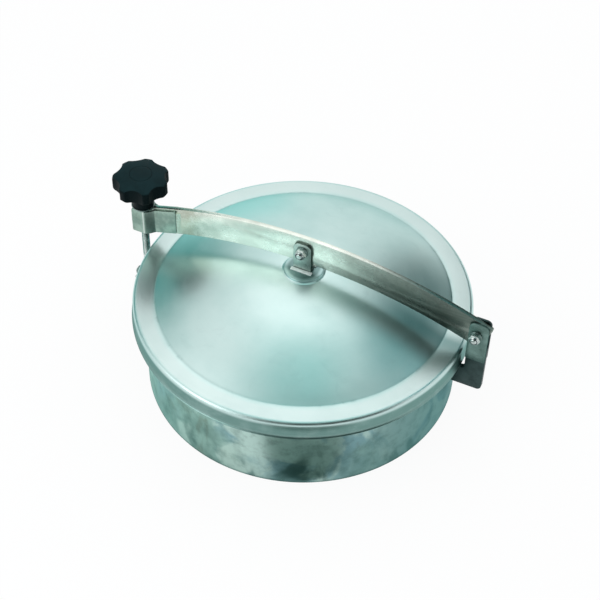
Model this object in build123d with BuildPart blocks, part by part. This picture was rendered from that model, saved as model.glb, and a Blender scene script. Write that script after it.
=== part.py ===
"""Round tank manway cover, nominal 400 mm, outward opening, for vessels without pressure.

A pressed lid with a rubber seal sits on a rolled neck that is welded into the tank roof.
An arched flat bar carries the lid: it turns on a bolt in a bracket on the neck, holds the
lid's clevis at mid span, and ends in a fork that a hinged eye bolt and a star knob pull down.

Units are millimetres.  Z is up and the origin is on the neck's axis in its lower edge.
X runs along the bar, from the knob (-X) to the hinge (+X).
"""

import os
from collections import namedtuple
from math import asin, cos, degrees, radians, sin, sqrt

from build123d import *

# ---------------------------------------------------------------- driving dimensions

# neck: the rolled ring that is welded into the tank roof
neck_inner_radius = 200.0
neck_wall = 3.0
neck_height = 107.0
neck_rim_round = 1.4

# seal: a solid rubber ring, held in the lid's rim by a rolled strip
seal_seat_gap = 0.3
seal_height = 20.7
seal_width = 21.5
seal_inside_neck = 7.7
seal_fit = 0.3
seal_side_gap = 0.7
seal_lip_round = 4.0
seal_strip_thickness = 2.0
seal_strip_depth = 14.0

# lid: one pressed sheet with a flat rim, a shallow dome and a beaded skirt
lid_sheet = 2.0
lid_skirt_depth = 26.0
lid_edge_round = 5.0
lid_bead_radius = 2.0
dome_inside_strip = 1.0
dome_rise = 41.0
dome_crease_round = 6.0

# arm: flat bar on edge, bent to an arch over the lid
arm_height = 40.0
arm_thickness = 6.0
arm_arch_radius = 650.0
arm_web_gap = 9.0
arm_side_play = 0.5
arm_past_hinge = 12.0
arm_end_round = 9.0
arm_corner_round = 2.0

# fork: two joggled strips lapped on the arm's faces
fork_strip = 3.0
fork_strip_inset = 1.5
fork_slot = 20.0
fork_slot_depth = 22.5
fork_drop = 3.2
fork_tip_reach = 10.5
fork_lap = 28.0
fork_joggle_run = 12.0
fork_joggle_gap = 3.0
fork_bend_round = 5.0
fork_corner_round = 2.0

# hinge: an L plate on the neck with a cheek on each face
bracket_bead_gap = 3.5
bracket_lid_gap = 7.0
bracket_foot_height = 29.0
bracket_width = 25.0
bracket_pin_inset = 10.0
bracket_stop_gap = 1.8
bracket_outer_round = 6.0
bracket_inner_round = 5.0
cheek_thickness = 3.0
cheek_over_arm = 0.5
cheek_lap = 20.7
cheek_top_round = 7.0
cheek_foot_round = 1.5

# lid clevis: a bent strap on a round pad at the top of the dome
pad_radius = 25.0
pad_thickness = 3.0
clevis_width = 24.0
clevis_strap = 3.0
clevis_above_bolt = 12.0
clevis_bend_round = 3.0
clevis_corner_round = 8.0

# closure: eye bolt on a lug of the neck
stud_bead_gap = 5.0
stud_radius = 5.0
lug_pin_drop = 35.0
lug_thickness = 5.0
lug_end_radius = 12.5
lug_foot_height = 44.0
lug_side_play = 0.5
eye_radius = 10.0
eye_width = 12.0
stud_past_washer = 24.0
stud_tip_chamfer = 1.0

# star knob
knob_lobes = 7
knob_tip_radius = 36.5
knob_lobe_depth = 6.5
knob_scallop_radius = 19.0
knob_lobe_round = 3.5
knob_lobe_turn = 0.0
knob_hub_radius = 14.0
knob_hub_height = 27.0
knob_head_height = 18.0
knob_crown_rise = 6.0
knob_edge_round = 4.0
knob_cap_radius = 14.5
knob_cap_depth = 2.0
knob_cap_gap = 0.25
insert_radius = 8.0
insert_length = 22.0
knob_bore_depth = 41.0
knob_washer_radius = 15.0
knob_washer_thickness = 2.0
knob_washer_play = 0.25
knob_seat_gap = 0.6

# fits
bolt_hole_play = 0.1
pivot_play = 0.08
thread_play = 0.05
press_play = 0.05

# fasteners: shank radius, width across flats, head, nut, nut collar, washer radius, washer
Fastener = namedtuple("Fastener", "shank flats head nut collar washer_radius washer")
m8 = Fastener(shank=4.0, flats=13.0, head=5.3, nut=8.0, collar=2.0, washer_radius=8.0, washer=1.6)
m10 = Fastener(shank=5.0, flats=16.0, head=6.4, nut=10.0, collar=2.5, washer_radius=10.0, washer=2.0)
bolt_tail = 1.2

# ---------------------------------------------------------------- derived places

neck_outer_radius = neck_inner_radius + neck_wall

seal_inner_radius = neck_inner_radius - seal_inside_neck
seal_outer_radius = seal_inner_radius + seal_width
seal_strip_outer_radius = seal_inner_radius - seal_fit
seal_strip_radius = seal_strip_outer_radius - seal_strip_thickness

lid_under_z = neck_height + seal_seat_gap + seal_height
lid_top_z = lid_under_z + lid_sheet
lid_low_z = lid_top_z - lid_skirt_depth
skirt_inner_radius = seal_outer_radius + seal_side_gap
skirt_outer_radius = skirt_inner_radius + lid_sheet
bead_outer_radius = skirt_inner_radius + 2 * lid_bead_radius
dome_radius = seal_strip_radius - dome_inside_strip
dome_sphere = (dome_radius**2 + dome_rise**2) / (2 * dome_rise)
dome_centre_z = lid_top_z + dome_rise - dome_sphere
dome_top_z = lid_top_z + dome_rise

clevis_foot_z = dome_top_z + pad_thickness
arm_crown_z = clevis_foot_z + clevis_strap + arm_web_gap + arm_height / 2
arch_centre_z = arm_crown_z - arm_arch_radius


def arch_z(x):
    """Height of the arm's centre line at a place along X."""
    return arch_centre_z + sqrt(arm_arch_radius**2 - x**2)


bracket_thickness = arm_thickness + 2 * arm_side_play
bracket_inner_x = bead_outer_radius + bracket_bead_gap
bracket_outer_x = bracket_inner_x + bracket_width
hinge_x = bracket_inner_x + bracket_pin_inset
hinge_z = arch_z(hinge_x)
foot_top_z = lid_low_z - bracket_lid_gap
bracket_foot_z = foot_top_z - bracket_foot_height
leg_top_z = hinge_z - arm_height / 2 - bracket_stop_gap
cheek_foot_z = leg_top_z - cheek_lap
cheek_top_z = hinge_z + arm_height / 2 + cheek_over_arm
cheek_face_y = bracket_thickness / 2 + cheek_thickness
clevis_gap = arm_thickness + 2 * arm_side_play
clevis_face_y = clevis_gap / 2 + clevis_strap
lug_gap = eye_width + 2 * lug_side_play
lug_face_y = lug_gap / 2 + lug_thickness

stud_x = -(bead_outer_radius + stud_bead_gap + stud_radius)
lug_pin_z = neck_height - lug_pin_drop
arm_fork_end_x = stud_x + fork_slot_depth
fork_centre_z = arch_z(arm_fork_end_x) - fork_drop
fork_strip_height = arm_height - 2 * fork_strip_inset
fork_top_z = fork_centre_z + fork_strip_height / 2
washer_low_z = fork_top_z + knob_seat_gap
knob_low_z = washer_low_z + knob_washer_thickness
knob_head_z = knob_low_z + knob_hub_height
knob_valley_radius = knob_tip_radius - knob_lobe_depth
knob_rim_z = knob_head_z + knob_head_height
knob_top_z = knob_rim_z + knob_crown_rise
crown_sphere = (knob_tip_radius**2 + knob_crown_rise**2) / (2 * knob_crown_rise)
stud_top_z = knob_low_z + stud_past_washer


# ---------------------------------------------------------------- repeated shapes


def radial_plane(x, z):
    """Plane through a cross bolt: its own x is the radius, its own y is the bolt's axis (+Y)."""
    return Plane(origin=(x, 0, z), x_dir=(1, 0, 0), z_dir=(0, 0, 1))


def cross_axis(x, z):
    """Axis of a bolt that lies along Y."""
    return Axis((x, 0, z), (0, 1, 0))


def hex_bolt(x, z, face_y, tail_y, size):
    """Hexagon bolt along Y with its head on the +Y side, from face_y to the tail."""
    with BuildPart() as bolt:
        with BuildSketch(Plane(origin=(x, face_y, z), x_dir=(1, 0, 0), z_dir=(0, 1, 0))):
            RegularPolygon(size.flats / 2, 6, major_radius=False)
        extrude(amount=size.head)
        bevel = size.flats * 0.077
        with BuildSketch(radial_plane(x, z)):
            with BuildLine():
                Polyline(
                    (0, face_y),
                    (size.flats, face_y),
                    (size.flats, face_y + size.head - size.flats * 0.3),
                    (size.flats / 2 - bevel * 0.2, face_y + size.head),
                    (0, face_y + size.head),
                    close=True,
                )
            make_face()
        revolve(axis=cross_axis(x, z), mode=Mode.INTERSECT)
        with BuildSketch(radial_plane(x, z)):
            with BuildLine():
                Polyline(
                    (0, face_y),
                    (size.shank, face_y),
                    (size.shank, tail_y + 1.0),
                    (size.shank - 1.0, tail_y),
                    (0, tail_y),
                    close=True,
                )
            make_face()
        revolve(axis=cross_axis(x, z))
    return bolt


def lock_nut(x, z, face_y, size):
    """Hexagon lock nut along Y, from its seat at face_y towards -Y, with a round collar."""
    with BuildPart() as nut:
        hex_height = size.nut - size.collar
        with BuildSketch(Plane(origin=(x, face_y, z), x_dir=(1, 0, 0), z_dir=(0, -1, 0))):
            RegularPolygon(size.flats / 2, 6, major_radius=False)
        extrude(amount=size.nut)
        collar_radius = size.flats * 0.45
        with BuildSketch(radial_plane(x, z)):
            with BuildLine():
                Polyline(
                    (size.shank + thread_play, face_y),
                    (size.flats, face_y),
                    (size.flats, face_y - hex_height + size.flats * 0.28),
                    (size.flats / 2, face_y - hex_height),
                    (collar_radius, face_y - hex_height),
                    (collar_radius, face_y - size.nut + 0.8),
                    (collar_radius - 0.8, face_y - size.nut),
                    (size.shank + thread_play, face_y - size.nut),
                    close=True,
                )
            make_face()
        revolve(axis=cross_axis(x, z), mode=Mode.INTERSECT)
    return nut


def washer_pair(x, z, face_y, size):
    """Two flat washers against the outer faces at plus and minus face_y."""
    with BuildPart() as washers:
        for start in (face_y, -face_y - size.washer):
            with BuildSketch(Plane(origin=(x, start, z), x_dir=(1, 0, 0), z_dir=(0, 1, 0))):
                Circle(size.washer_radius)
                Circle(size.shank + bolt_hole_play, mode=Mode.SUBTRACT)
            extrude(amount=size.washer)
    return washers


# ---------------------------------------------------------------- neck and its weldments

with BuildPart() as neck_ring:
    with BuildSketch(Plane.XZ) as neck_wall_section:
        with Locations((neck_inner_radius + neck_wall / 2, neck_height / 2)):
            Rectangle(neck_wall, neck_height)
        fillet(neck_wall_section.vertices().group_by(Axis.Y)[-1], neck_rim_round)
    revolve(axis=Axis.Z)
neck_ring.part.label = "neck_ring"

# L plate: the foot runs out from the wall under the lid's bead, the leg stands past the bead
with BuildPart() as hinge_bracket:
    with BuildSketch(Plane.XZ) as bracket_outline:
        with BuildLine():
            Polyline(
                (neck_outer_radius - neck_wall / 2, bracket_foot_z),
                (bracket_outer_x, bracket_foot_z),
                (bracket_outer_x, leg_top_z),
                (bracket_inner_x, leg_top_z),
                (bracket_inner_x, foot_top_z),
                (neck_outer_radius - neck_wall / 2, foot_top_z),
                close=True,
            )
        make_face()
        corners = bracket_outline.vertices()
        fillet(corners.sort_by_distance((bracket_outer_x, bracket_foot_z))[0], bracket_outer_round)
        corners = bracket_outline.vertices()
        fillet(corners.sort_by_distance((bracket_inner_x, foot_top_z))[0], bracket_inner_round)
    extrude(amount=bracket_thickness / 2, both=True)
    Cylinder(
        neck_outer_radius,
        neck_height,
        align=(Align.CENTER, Align.CENTER, Align.MIN),
        mode=Mode.SUBTRACT,
    )
hinge_bracket.part.label = "hinge_bracket"


def hinge_cheek(near_y):
    """Cheek plate on one face of the bracket, from near_y outwards in +Y."""
    with BuildPart() as cheek:
        height = cheek_top_z - cheek_foot_z
        middle = (bracket_outer_x - bracket_width / 2, cheek_foot_z + height / 2)
        with BuildSketch(Plane(origin=(0, near_y, 0), x_dir=(1, 0, 0), z_dir=(0, -1, 0))) as outline:
            with Locations(middle):
                Rectangle(bracket_width, height)
            fillet(outline.vertices().group_by(Axis.Y)[-1], cheek_top_round)
            fillet(outline.vertices().group_by(Axis.Y)[0], cheek_foot_round)
            with Locations((hinge_x, hinge_z)):
                Circle(m8.shank + bolt_hole_play, mode=Mode.SUBTRACT)
        extrude(amount=-cheek_thickness)
    return cheek


hinge_cheek_front = hinge_cheek(-cheek_face_y)
hinge_cheek_front.part.label = "hinge_cheek_front"

hinge_cheek_rear = hinge_cheek(bracket_thickness / 2)
hinge_cheek_rear.part.label = "hinge_cheek_rear"

hinge_head_y = cheek_face_y + m8.washer
hinge_tail_y = -hinge_head_y - m8.nut - bolt_tail

hinge_bolt = hex_bolt(hinge_x, hinge_z, hinge_head_y, hinge_tail_y, m8)
hinge_bolt.part.label = "hinge_bolt"

hinge_nut = lock_nut(hinge_x, hinge_z, -hinge_head_y, m8)
hinge_nut.part.label = "hinge_nut"

hinge_washers = washer_pair(hinge_x, hinge_z, cheek_face_y, m8)
hinge_washers.part.label = "hinge_washers"


def lug_plate(near_y):
    """One plate of the eye bolt's lug, from near_y outwards in +Y, scribed to the neck."""
    with BuildPart() as plate:
        foot_x = -neck_outer_radius + neck_wall / 2
        with BuildSketch(Plane(origin=(0, near_y, 0), x_dir=(1, 0, 0), z_dir=(0, -1, 0))):
            with Locations((stud_x, lug_pin_z)):
                Circle(lug_end_radius)
            with Locations((foot_x, lug_pin_z)):
                Rectangle(1.0, lug_foot_height)
            make_hull()
            with Locations((stud_x, lug_pin_z)):
                Circle(m10.shank + bolt_hole_play, mode=Mode.SUBTRACT)
        extrude(amount=-lug_thickness)
        Cylinder(
            neck_outer_radius,
            neck_height,
            align=(Align.CENTER, Align.CENTER, Align.MIN),
            mode=Mode.SUBTRACT,
        )
    return plate


lug_plate_front = lug_plate(-lug_face_y)
lug_plate_front.part.label = "lug_plate_front"

lug_plate_rear = lug_plate(lug_gap / 2)
lug_plate_rear.part.label = "lug_plate_rear"

lug_head_y = lug_face_y + m10.washer
lug_tail_y = -lug_head_y - m10.nut - bolt_tail

lug_bolt = hex_bolt(stud_x, lug_pin_z, lug_head_y, lug_tail_y, m10)
lug_bolt.part.label = "lug_bolt"

lug_nut = lock_nut(stud_x, lug_pin_z, -lug_head_y, m10)
lug_nut.part.label = "lug_nut"

lug_washers = washer_pair(stud_x, lug_pin_z, lug_face_y, m10)
lug_washers.part.label = "lug_washers"

# ---------------------------------------------------------------- arm

with BuildPart() as arm_bar:
    hinge_angle = degrees(asin(hinge_x / arm_arch_radius))
    end_angle = hinge_angle + degrees(arm_past_hinge / arm_arch_radius)
    fork_angle = degrees(asin(arm_fork_end_x / arm_arch_radius))
    arm_upper = arm_arch_radius + arm_height / 2
    arm_lower = arm_arch_radius - arm_height / 2
    arch_centre = (0, arch_centre_z)
    with BuildSketch(Plane.XZ) as arm_outline:
        with BuildLine():
            upper = CenterArc(arch_centre, arm_upper, 90 - end_angle, end_angle - fork_angle)
            lower = CenterArc(arch_centre, arm_lower, 90 - end_angle, end_angle - fork_angle)
            Line(upper @ 0, lower @ 0)
            Line(upper @ 1, lower @ 1)
        make_face()
        corners = arm_outline.vertices()
        fillet(corners.sort_by_distance(lower @ 0)[0], arm_end_round)
        corners = arm_outline.vertices()
        fillet(corners.sort_by_distance(upper @ 0)[0], arm_corner_round)
        with Locations((0, arm_crown_z), (hinge_x, hinge_z)):
            Circle(m8.shank + pivot_play, mode=Mode.SUBTRACT)
    extrude(amount=arm_thickness / 2, both=True)
arm_bar.part.label = "arm_bar"


def fork_cheek(side):
    """Joggled strip on one face of the arm: bent in plan, then cut to its outline."""
    with BuildPart() as cheek:
        lap_y = side * (arm_thickness + fork_strip) / 2
        tine_y = side * (fork_slot + fork_strip) / 2
        tip_x = stud_x - fork_tip_reach
        lap_x = arm_fork_end_x + fork_lap
        joggle_x = arm_fork_end_x - fork_joggle_gap
        with BuildSketch(Plane.XY):
            with BuildLine():
                FilletPolyline(
                    (lap_x, lap_y),
                    (joggle_x, lap_y),
                    (joggle_x - fork_joggle_run, tine_y),
                    (tip_x, tine_y),
                    radius=fork_bend_round,
                )
            trace(line_width=fork_strip)
        extrude(amount=arm_crown_z + arm_height)
        half = fork_strip_height / 2
        with BuildSketch(Plane.XZ) as outline:
            with BuildLine():
                Polyline(
                    (tip_x, fork_centre_z - half),
                    (joggle_x - fork_joggle_run / 2, fork_centre_z - half),
                    (lap_x, arch_z(lap_x) - half),
                    (lap_x, arch_z(lap_x) + half),
                    (joggle_x - fork_joggle_run / 2, fork_centre_z + half),
                    (tip_x, fork_centre_z + half),
                    close=True,
                )
            make_face()
            fillet(outline.vertices().group_by(Axis.X)[0], fork_corner_round)
            fillet(outline.vertices().group_by(Axis.X)[-1], fork_corner_round)
        extrude(amount=fork_slot * 2, both=True, mode=Mode.INTERSECT)
    return cheek


fork_cheek_front = fork_cheek(-1)
fork_cheek_front.part.label = "fork_cheek_front"

fork_cheek_rear = fork_cheek(1)
fork_cheek_rear.part.label = "fork_cheek_rear"

# ---------------------------------------------------------------- lid

with BuildPart() as lid_shell:
    inner_sphere = dome_sphere - lid_sheet
    rim_angle = degrees(asin((lid_top_z - dome_centre_z) / dome_sphere))
    inner_angle = degrees(asin((lid_under_z - dome_centre_z) / inner_sphere))
    with BuildSketch(Plane.XZ) as lid_section:
        with BuildLine():
            over = CenterArc((0, dome_centre_z), dome_sphere, rim_angle, 90 - rim_angle)
            under = CenterArc((0, dome_centre_z), inner_sphere, inner_angle, 90 - inner_angle)
            Line(over @ 1, under @ 1)
            Polyline(
                over @ 0,
                (skirt_outer_radius, lid_top_z),
                (skirt_outer_radius, lid_low_z + lid_bead_radius),
                (skirt_inner_radius, lid_low_z + lid_bead_radius),
                (skirt_inner_radius, lid_under_z),
                under @ 0,
            )
        make_face()
        corners = lid_section.vertices()
        fillet(corners.sort_by_distance(over @ 0)[0], dome_crease_round)
        corners = lid_section.vertices()
        fillet(corners.sort_by_distance(under @ 0)[0], dome_crease_round + lid_sheet)
        corners = lid_section.vertices()
        fillet(corners.sort_by_distance((skirt_outer_radius, lid_top_z))[0], lid_edge_round)
        corners = lid_section.vertices()
        fillet(corners.sort_by_distance((skirt_inner_radius, lid_under_z))[0], lid_edge_round - lid_sheet)
        with Locations((skirt_inner_radius + lid_bead_radius, lid_low_z + lid_bead_radius)):
            Circle(lid_bead_radius)
    revolve(axis=Axis.Z)
lid_shell.part.label = "lid_shell"

with BuildPart() as seal_strip:
    with BuildSketch(Plane.XZ):
        with Locations((seal_strip_radius + seal_strip_thickness / 2, lid_under_z - seal_strip_depth / 2)):
            Rectangle(seal_strip_thickness, seal_strip_depth)
    revolve(axis=Axis.Z)
seal_strip.part.label = "seal_strip"

with BuildPart() as lid_seal:
    with BuildSketch(Plane.XZ) as seal_section:
        with Locations((seal_inner_radius + seal_width / 2, lid_under_z - seal_height / 2)):
            Rectangle(seal_width, seal_height)
        fillet(seal_section.vertices().group_by(Axis.Y)[0], seal_lip_round)
        chamfer(seal_section.vertices().group_by(Axis.Y)[-1].sort_by(Axis.X)[-1], lid_edge_round - lid_sheet)
    revolve(axis=Axis.Z)
lid_seal.part.label = "lid_seal"

with BuildPart() as lid_pad:
    with BuildSketch(Plane.XY.offset(clevis_foot_z)):
        Circle(pad_radius)
    extrude(amount=-2 * pad_thickness)
    with Locations((0, 0, dome_centre_z)):
        Sphere(dome_sphere, mode=Mode.SUBTRACT)
lid_pad.part.label = "lid_pad"

# bent strap: a U in section, cut to rounded ears in side view
with BuildPart() as lid_clevis:
    ear_y = clevis_face_y - clevis_strap / 2
    ear_top_z = arm_crown_z + clevis_above_bolt
    web_z = clevis_foot_z + clevis_strap / 2
    with BuildSketch(Plane.YZ):
        with BuildLine():
            FilletPolyline(
                (-ear_y, ear_top_z),
                (-ear_y, web_z),
                (ear_y, web_z),
                (ear_y, ear_top_z),
                radius=clevis_bend_round,
            )
        trace(line_width=clevis_strap)
    extrude(amount=clevis_width / 2, both=True)
    with BuildSketch(Plane.XZ) as ear_outline:
        with Locations((0, (ear_top_z + clevis_foot_z) / 2)):
            Rectangle(clevis_width, ear_top_z - clevis_foot_z)
        fillet(ear_outline.vertices().group_by(Axis.Y)[-1], clevis_corner_round)
    extrude(amount=clevis_face_y, both=True, mode=Mode.INTERSECT)
    with BuildSketch(Plane.XZ):
        with Locations((0, arm_crown_z)):
            Circle(m8.shank + bolt_hole_play)
    extrude(amount=clevis_face_y, both=True, mode=Mode.SUBTRACT)
lid_clevis.part.label = "lid_clevis"

clevis_head_y = clevis_face_y + m8.washer
clevis_tail_y = -clevis_head_y - m8.nut - bolt_tail

clevis_bolt = hex_bolt(0, arm_crown_z, clevis_head_y, clevis_tail_y, m8)
clevis_bolt.part.label = "clevis_bolt"

clevis_nut = lock_nut(0, arm_crown_z, -clevis_head_y, m8)
clevis_nut.part.label = "clevis_nut"

clevis_washers = washer_pair(0, arm_crown_z, clevis_face_y, m8)
clevis_washers.part.label = "clevis_washers"

# ---------------------------------------------------------------- closure

with BuildPart() as eye_bolt:
    with BuildSketch(Plane(origin=(stud_x, 0, lug_pin_z), x_dir=(1, 0, 0), z_dir=(0, 1, 0))):
        Circle(eye_radius)
    extrude(amount=eye_width / 2, both=True)
    with BuildSketch(Plane.XY.offset(lug_pin_z)):
        with Locations((stud_x, 0)):
            Circle(stud_radius)
    extrude(amount=stud_top_z - lug_pin_z)
    chamfer(eye_bolt.faces().sort_by(Axis.Z)[-1].edges(), stud_tip_chamfer)
    with BuildSketch(Plane.XZ):
        with Locations((stud_x, lug_pin_z)):
            Circle(m10.shank + pivot_play)
    extrude(amount=eye_width, both=True, mode=Mode.SUBTRACT)
eye_bolt.part.label = "eye_bolt"

with BuildPart() as knob_washer:
    with BuildSketch(Plane.XY.offset(washer_low_z)):
        with Locations((stud_x, 0)):
            Circle(knob_washer_radius)
            Circle(stud_radius + knob_washer_play, mode=Mode.SUBTRACT)
    extrude(amount=knob_washer_thickness)
knob_washer.part.label = "knob_washer"

# star head: scalloped disc, turned to a crowned profile, on a round hub
with BuildPart() as knob_body:
    knob_axis = Axis((stud_x, 0, 0), (0, 0, 1))
    knob_side = Plane(origin=(stud_x, 0, 0), x_dir=(1, 0, 0), z_dir=(0, -1, 0))
    scallop_centre = knob_valley_radius + knob_scallop_radius
    with BuildSketch(Plane.XY.offset(knob_head_z)) as star:
        with Locations((stud_x, 0)):
            Circle(knob_tip_radius)
            with PolarLocations(scallop_centre, knob_lobes, start_angle=knob_lobe_turn + 180 / knob_lobes):
                Circle(knob_scallop_radius, mode=Mode.SUBTRACT)
        fillet(star.vertices(), knob_lobe_round)
    extrude(amount=knob_head_height + knob_crown_rise)
    with BuildSketch(knob_side) as crown_section:
        with BuildLine():
            rim_turn = degrees(asin(knob_tip_radius / crown_sphere))
            crown = CenterArc((0, knob_top_z - crown_sphere), crown_sphere, 90 - rim_turn, rim_turn)
            Polyline(crown @ 1, (0, knob_head_z), (knob_tip_radius, knob_head_z), crown @ 0)
        make_face()
        corners = crown_section.vertices()
        fillet(corners.sort_by_distance((knob_tip_radius, knob_rim_z))[0], knob_edge_round)
        corners = crown_section.vertices()
        fillet(corners.sort_by_distance((knob_tip_radius, knob_head_z))[0], knob_edge_round)
    revolve(axis=knob_axis, mode=Mode.INTERSECT)
    with BuildSketch(Plane.XY.offset(knob_low_z)):
        with Locations((stud_x, 0)):
            Circle(knob_hub_radius)
    extrude(amount=knob_hub_height + knob_head_height / 2)
    with BuildSketch(Plane.XY.offset(knob_top_z + knob_crown_rise)):
        with Locations((stud_x, 0)):
            Circle(knob_cap_radius)
    extrude(amount=-knob_crown_rise - knob_cap_depth, mode=Mode.SUBTRACT)
    with BuildSketch(Plane.XY.offset(knob_low_z)):
        with Locations((stud_x, 0)):
            Circle(stud_radius + bolt_hole_play)
    extrude(amount=knob_bore_depth, mode=Mode.SUBTRACT)
    with BuildSketch(Plane.XY.offset(knob_low_z)):
        with Locations((stud_x, 0)):
            Circle(insert_radius + press_play)
    extrude(amount=insert_length, mode=Mode.SUBTRACT)
knob_body.part.label = "knob_body"

with BuildPart() as knob_insert:
    with BuildSketch(Plane.XY.offset(knob_low_z)):
        with Locations((stud_x, 0)):
            Circle(insert_radius)
            Circle(stud_radius + thread_play, mode=Mode.SUBTRACT)
    extrude(amount=insert_length)
knob_insert.part.label = "knob_insert"

with BuildPart() as knob_cap:
    with BuildSketch(knob_side):
        with BuildLine():
            cap_edge = knob_cap_radius - knob_cap_gap
            cap_turn = degrees(asin(cap_edge / crown_sphere))
            cap_low_z = knob_top_z - knob_cap_depth
            cap_top = CenterArc((0, knob_top_z - crown_sphere), crown_sphere, 90 - cap_turn, cap_turn)
            Polyline(cap_top @ 1, (0, cap_low_z), (cap_edge, cap_low_z), cap_top @ 0)
        make_face()
    revolve(axis=knob_axis)
knob_cap.part.label = "knob_cap"

# ---------------------------------------------------------------- write the pieces

os.makedirs("parts", exist_ok=True)

export_step(neck_ring.part, "parts/neck_ring.step")
export_step(hinge_bracket.part, "parts/hinge_bracket.step")
export_step(hinge_cheek_front.part, "parts/hinge_cheek_front.step")
export_step(hinge_cheek_rear.part, "parts/hinge_cheek_rear.step")
export_step(hinge_bolt.part, "parts/hinge_bolt.step")
export_step(hinge_nut.part, "parts/hinge_nut.step")
export_step(hinge_washers.part, "parts/hinge_washers.step")
export_step(lug_plate_front.part, "parts/lug_plate_front.step")
export_step(lug_plate_rear.part, "parts/lug_plate_rear.step")
export_step(lug_bolt.part, "parts/lug_bolt.step")
export_step(lug_nut.part, "parts/lug_nut.step")
export_step(lug_washers.part, "parts/lug_washers.step")
export_step(arm_bar.part, "parts/arm_bar.step")
export_step(fork_cheek_front.part, "parts/fork_cheek_front.step")
export_step(fork_cheek_rear.part, "parts/fork_cheek_rear.step")
export_step(lid_shell.part, "parts/lid_shell.step")
export_step(seal_strip.part, "parts/seal_strip.step")
export_step(lid_seal.part, "parts/lid_seal.step")
export_step(lid_pad.part, "parts/lid_pad.step")
export_step(lid_clevis.part, "parts/lid_clevis.step")
export_step(clevis_bolt.part, "parts/clevis_bolt.step")
export_step(clevis_nut.part, "parts/clevis_nut.step")
export_step(clevis_washers.part, "parts/clevis_washers.step")
export_step(eye_bolt.part, "parts/eye_bolt.step")
export_step(knob_washer.part, "parts/knob_washer.step")
export_step(knob_body.part, "parts/knob_body.step")
export_step(knob_insert.part, "parts/knob_insert.step")
export_step(knob_cap.part, "parts/knob_cap.step")
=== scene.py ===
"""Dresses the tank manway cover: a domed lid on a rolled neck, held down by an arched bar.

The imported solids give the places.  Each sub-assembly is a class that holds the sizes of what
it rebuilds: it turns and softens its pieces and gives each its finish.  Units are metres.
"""

import logging
import math
from dataclasses import dataclass, field, replace
from enum import Enum
from functools import cached_property, reduce

import bmesh
import bpy
from mathutils import Matrix, Vector


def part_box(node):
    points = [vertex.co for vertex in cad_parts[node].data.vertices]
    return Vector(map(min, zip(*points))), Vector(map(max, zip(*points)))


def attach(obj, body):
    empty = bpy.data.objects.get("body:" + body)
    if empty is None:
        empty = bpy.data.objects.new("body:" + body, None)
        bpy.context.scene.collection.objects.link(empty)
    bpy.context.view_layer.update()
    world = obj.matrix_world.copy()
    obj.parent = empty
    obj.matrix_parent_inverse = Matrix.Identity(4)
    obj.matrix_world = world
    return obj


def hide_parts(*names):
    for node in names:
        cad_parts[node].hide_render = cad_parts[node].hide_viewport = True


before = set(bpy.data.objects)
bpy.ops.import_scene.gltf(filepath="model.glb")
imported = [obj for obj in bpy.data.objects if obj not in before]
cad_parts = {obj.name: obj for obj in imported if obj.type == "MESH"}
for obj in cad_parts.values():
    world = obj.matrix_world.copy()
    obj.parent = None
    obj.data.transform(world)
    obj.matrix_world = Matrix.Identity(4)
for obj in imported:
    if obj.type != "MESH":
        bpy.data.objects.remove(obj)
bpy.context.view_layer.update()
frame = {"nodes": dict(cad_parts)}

LOG = logging.getLogger("manway")

Colour = tuple[float, float, float]
Socket = bpy.types.NodeSocket
Value = Socket | float | tuple
Mesh = bmesh.types.BMesh
Vertex = bmesh.types.BMVert
Edge = bmesh.types.BMEdge

WHITE: Colour = (1.0, 1.0, 1.0)
# Points that are closer than this are taken as one.
NEAR: float = 1e-6
# The two sides of the bar, by name, and which way each lies along Y.
SIDES: tuple[tuple[str, float], ...] = (("front", -1.0), ("rear", 1.0))


# ------------------------------------------------------------------------------ finishes


class Grain(Enum):
    """The way that the fine marks of a finish run."""

    NONE = "even, as blasted or moulded"
    ALONG_BAR = "drawn along the bar"
    AROUND = "turned around the neck's axis"


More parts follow.
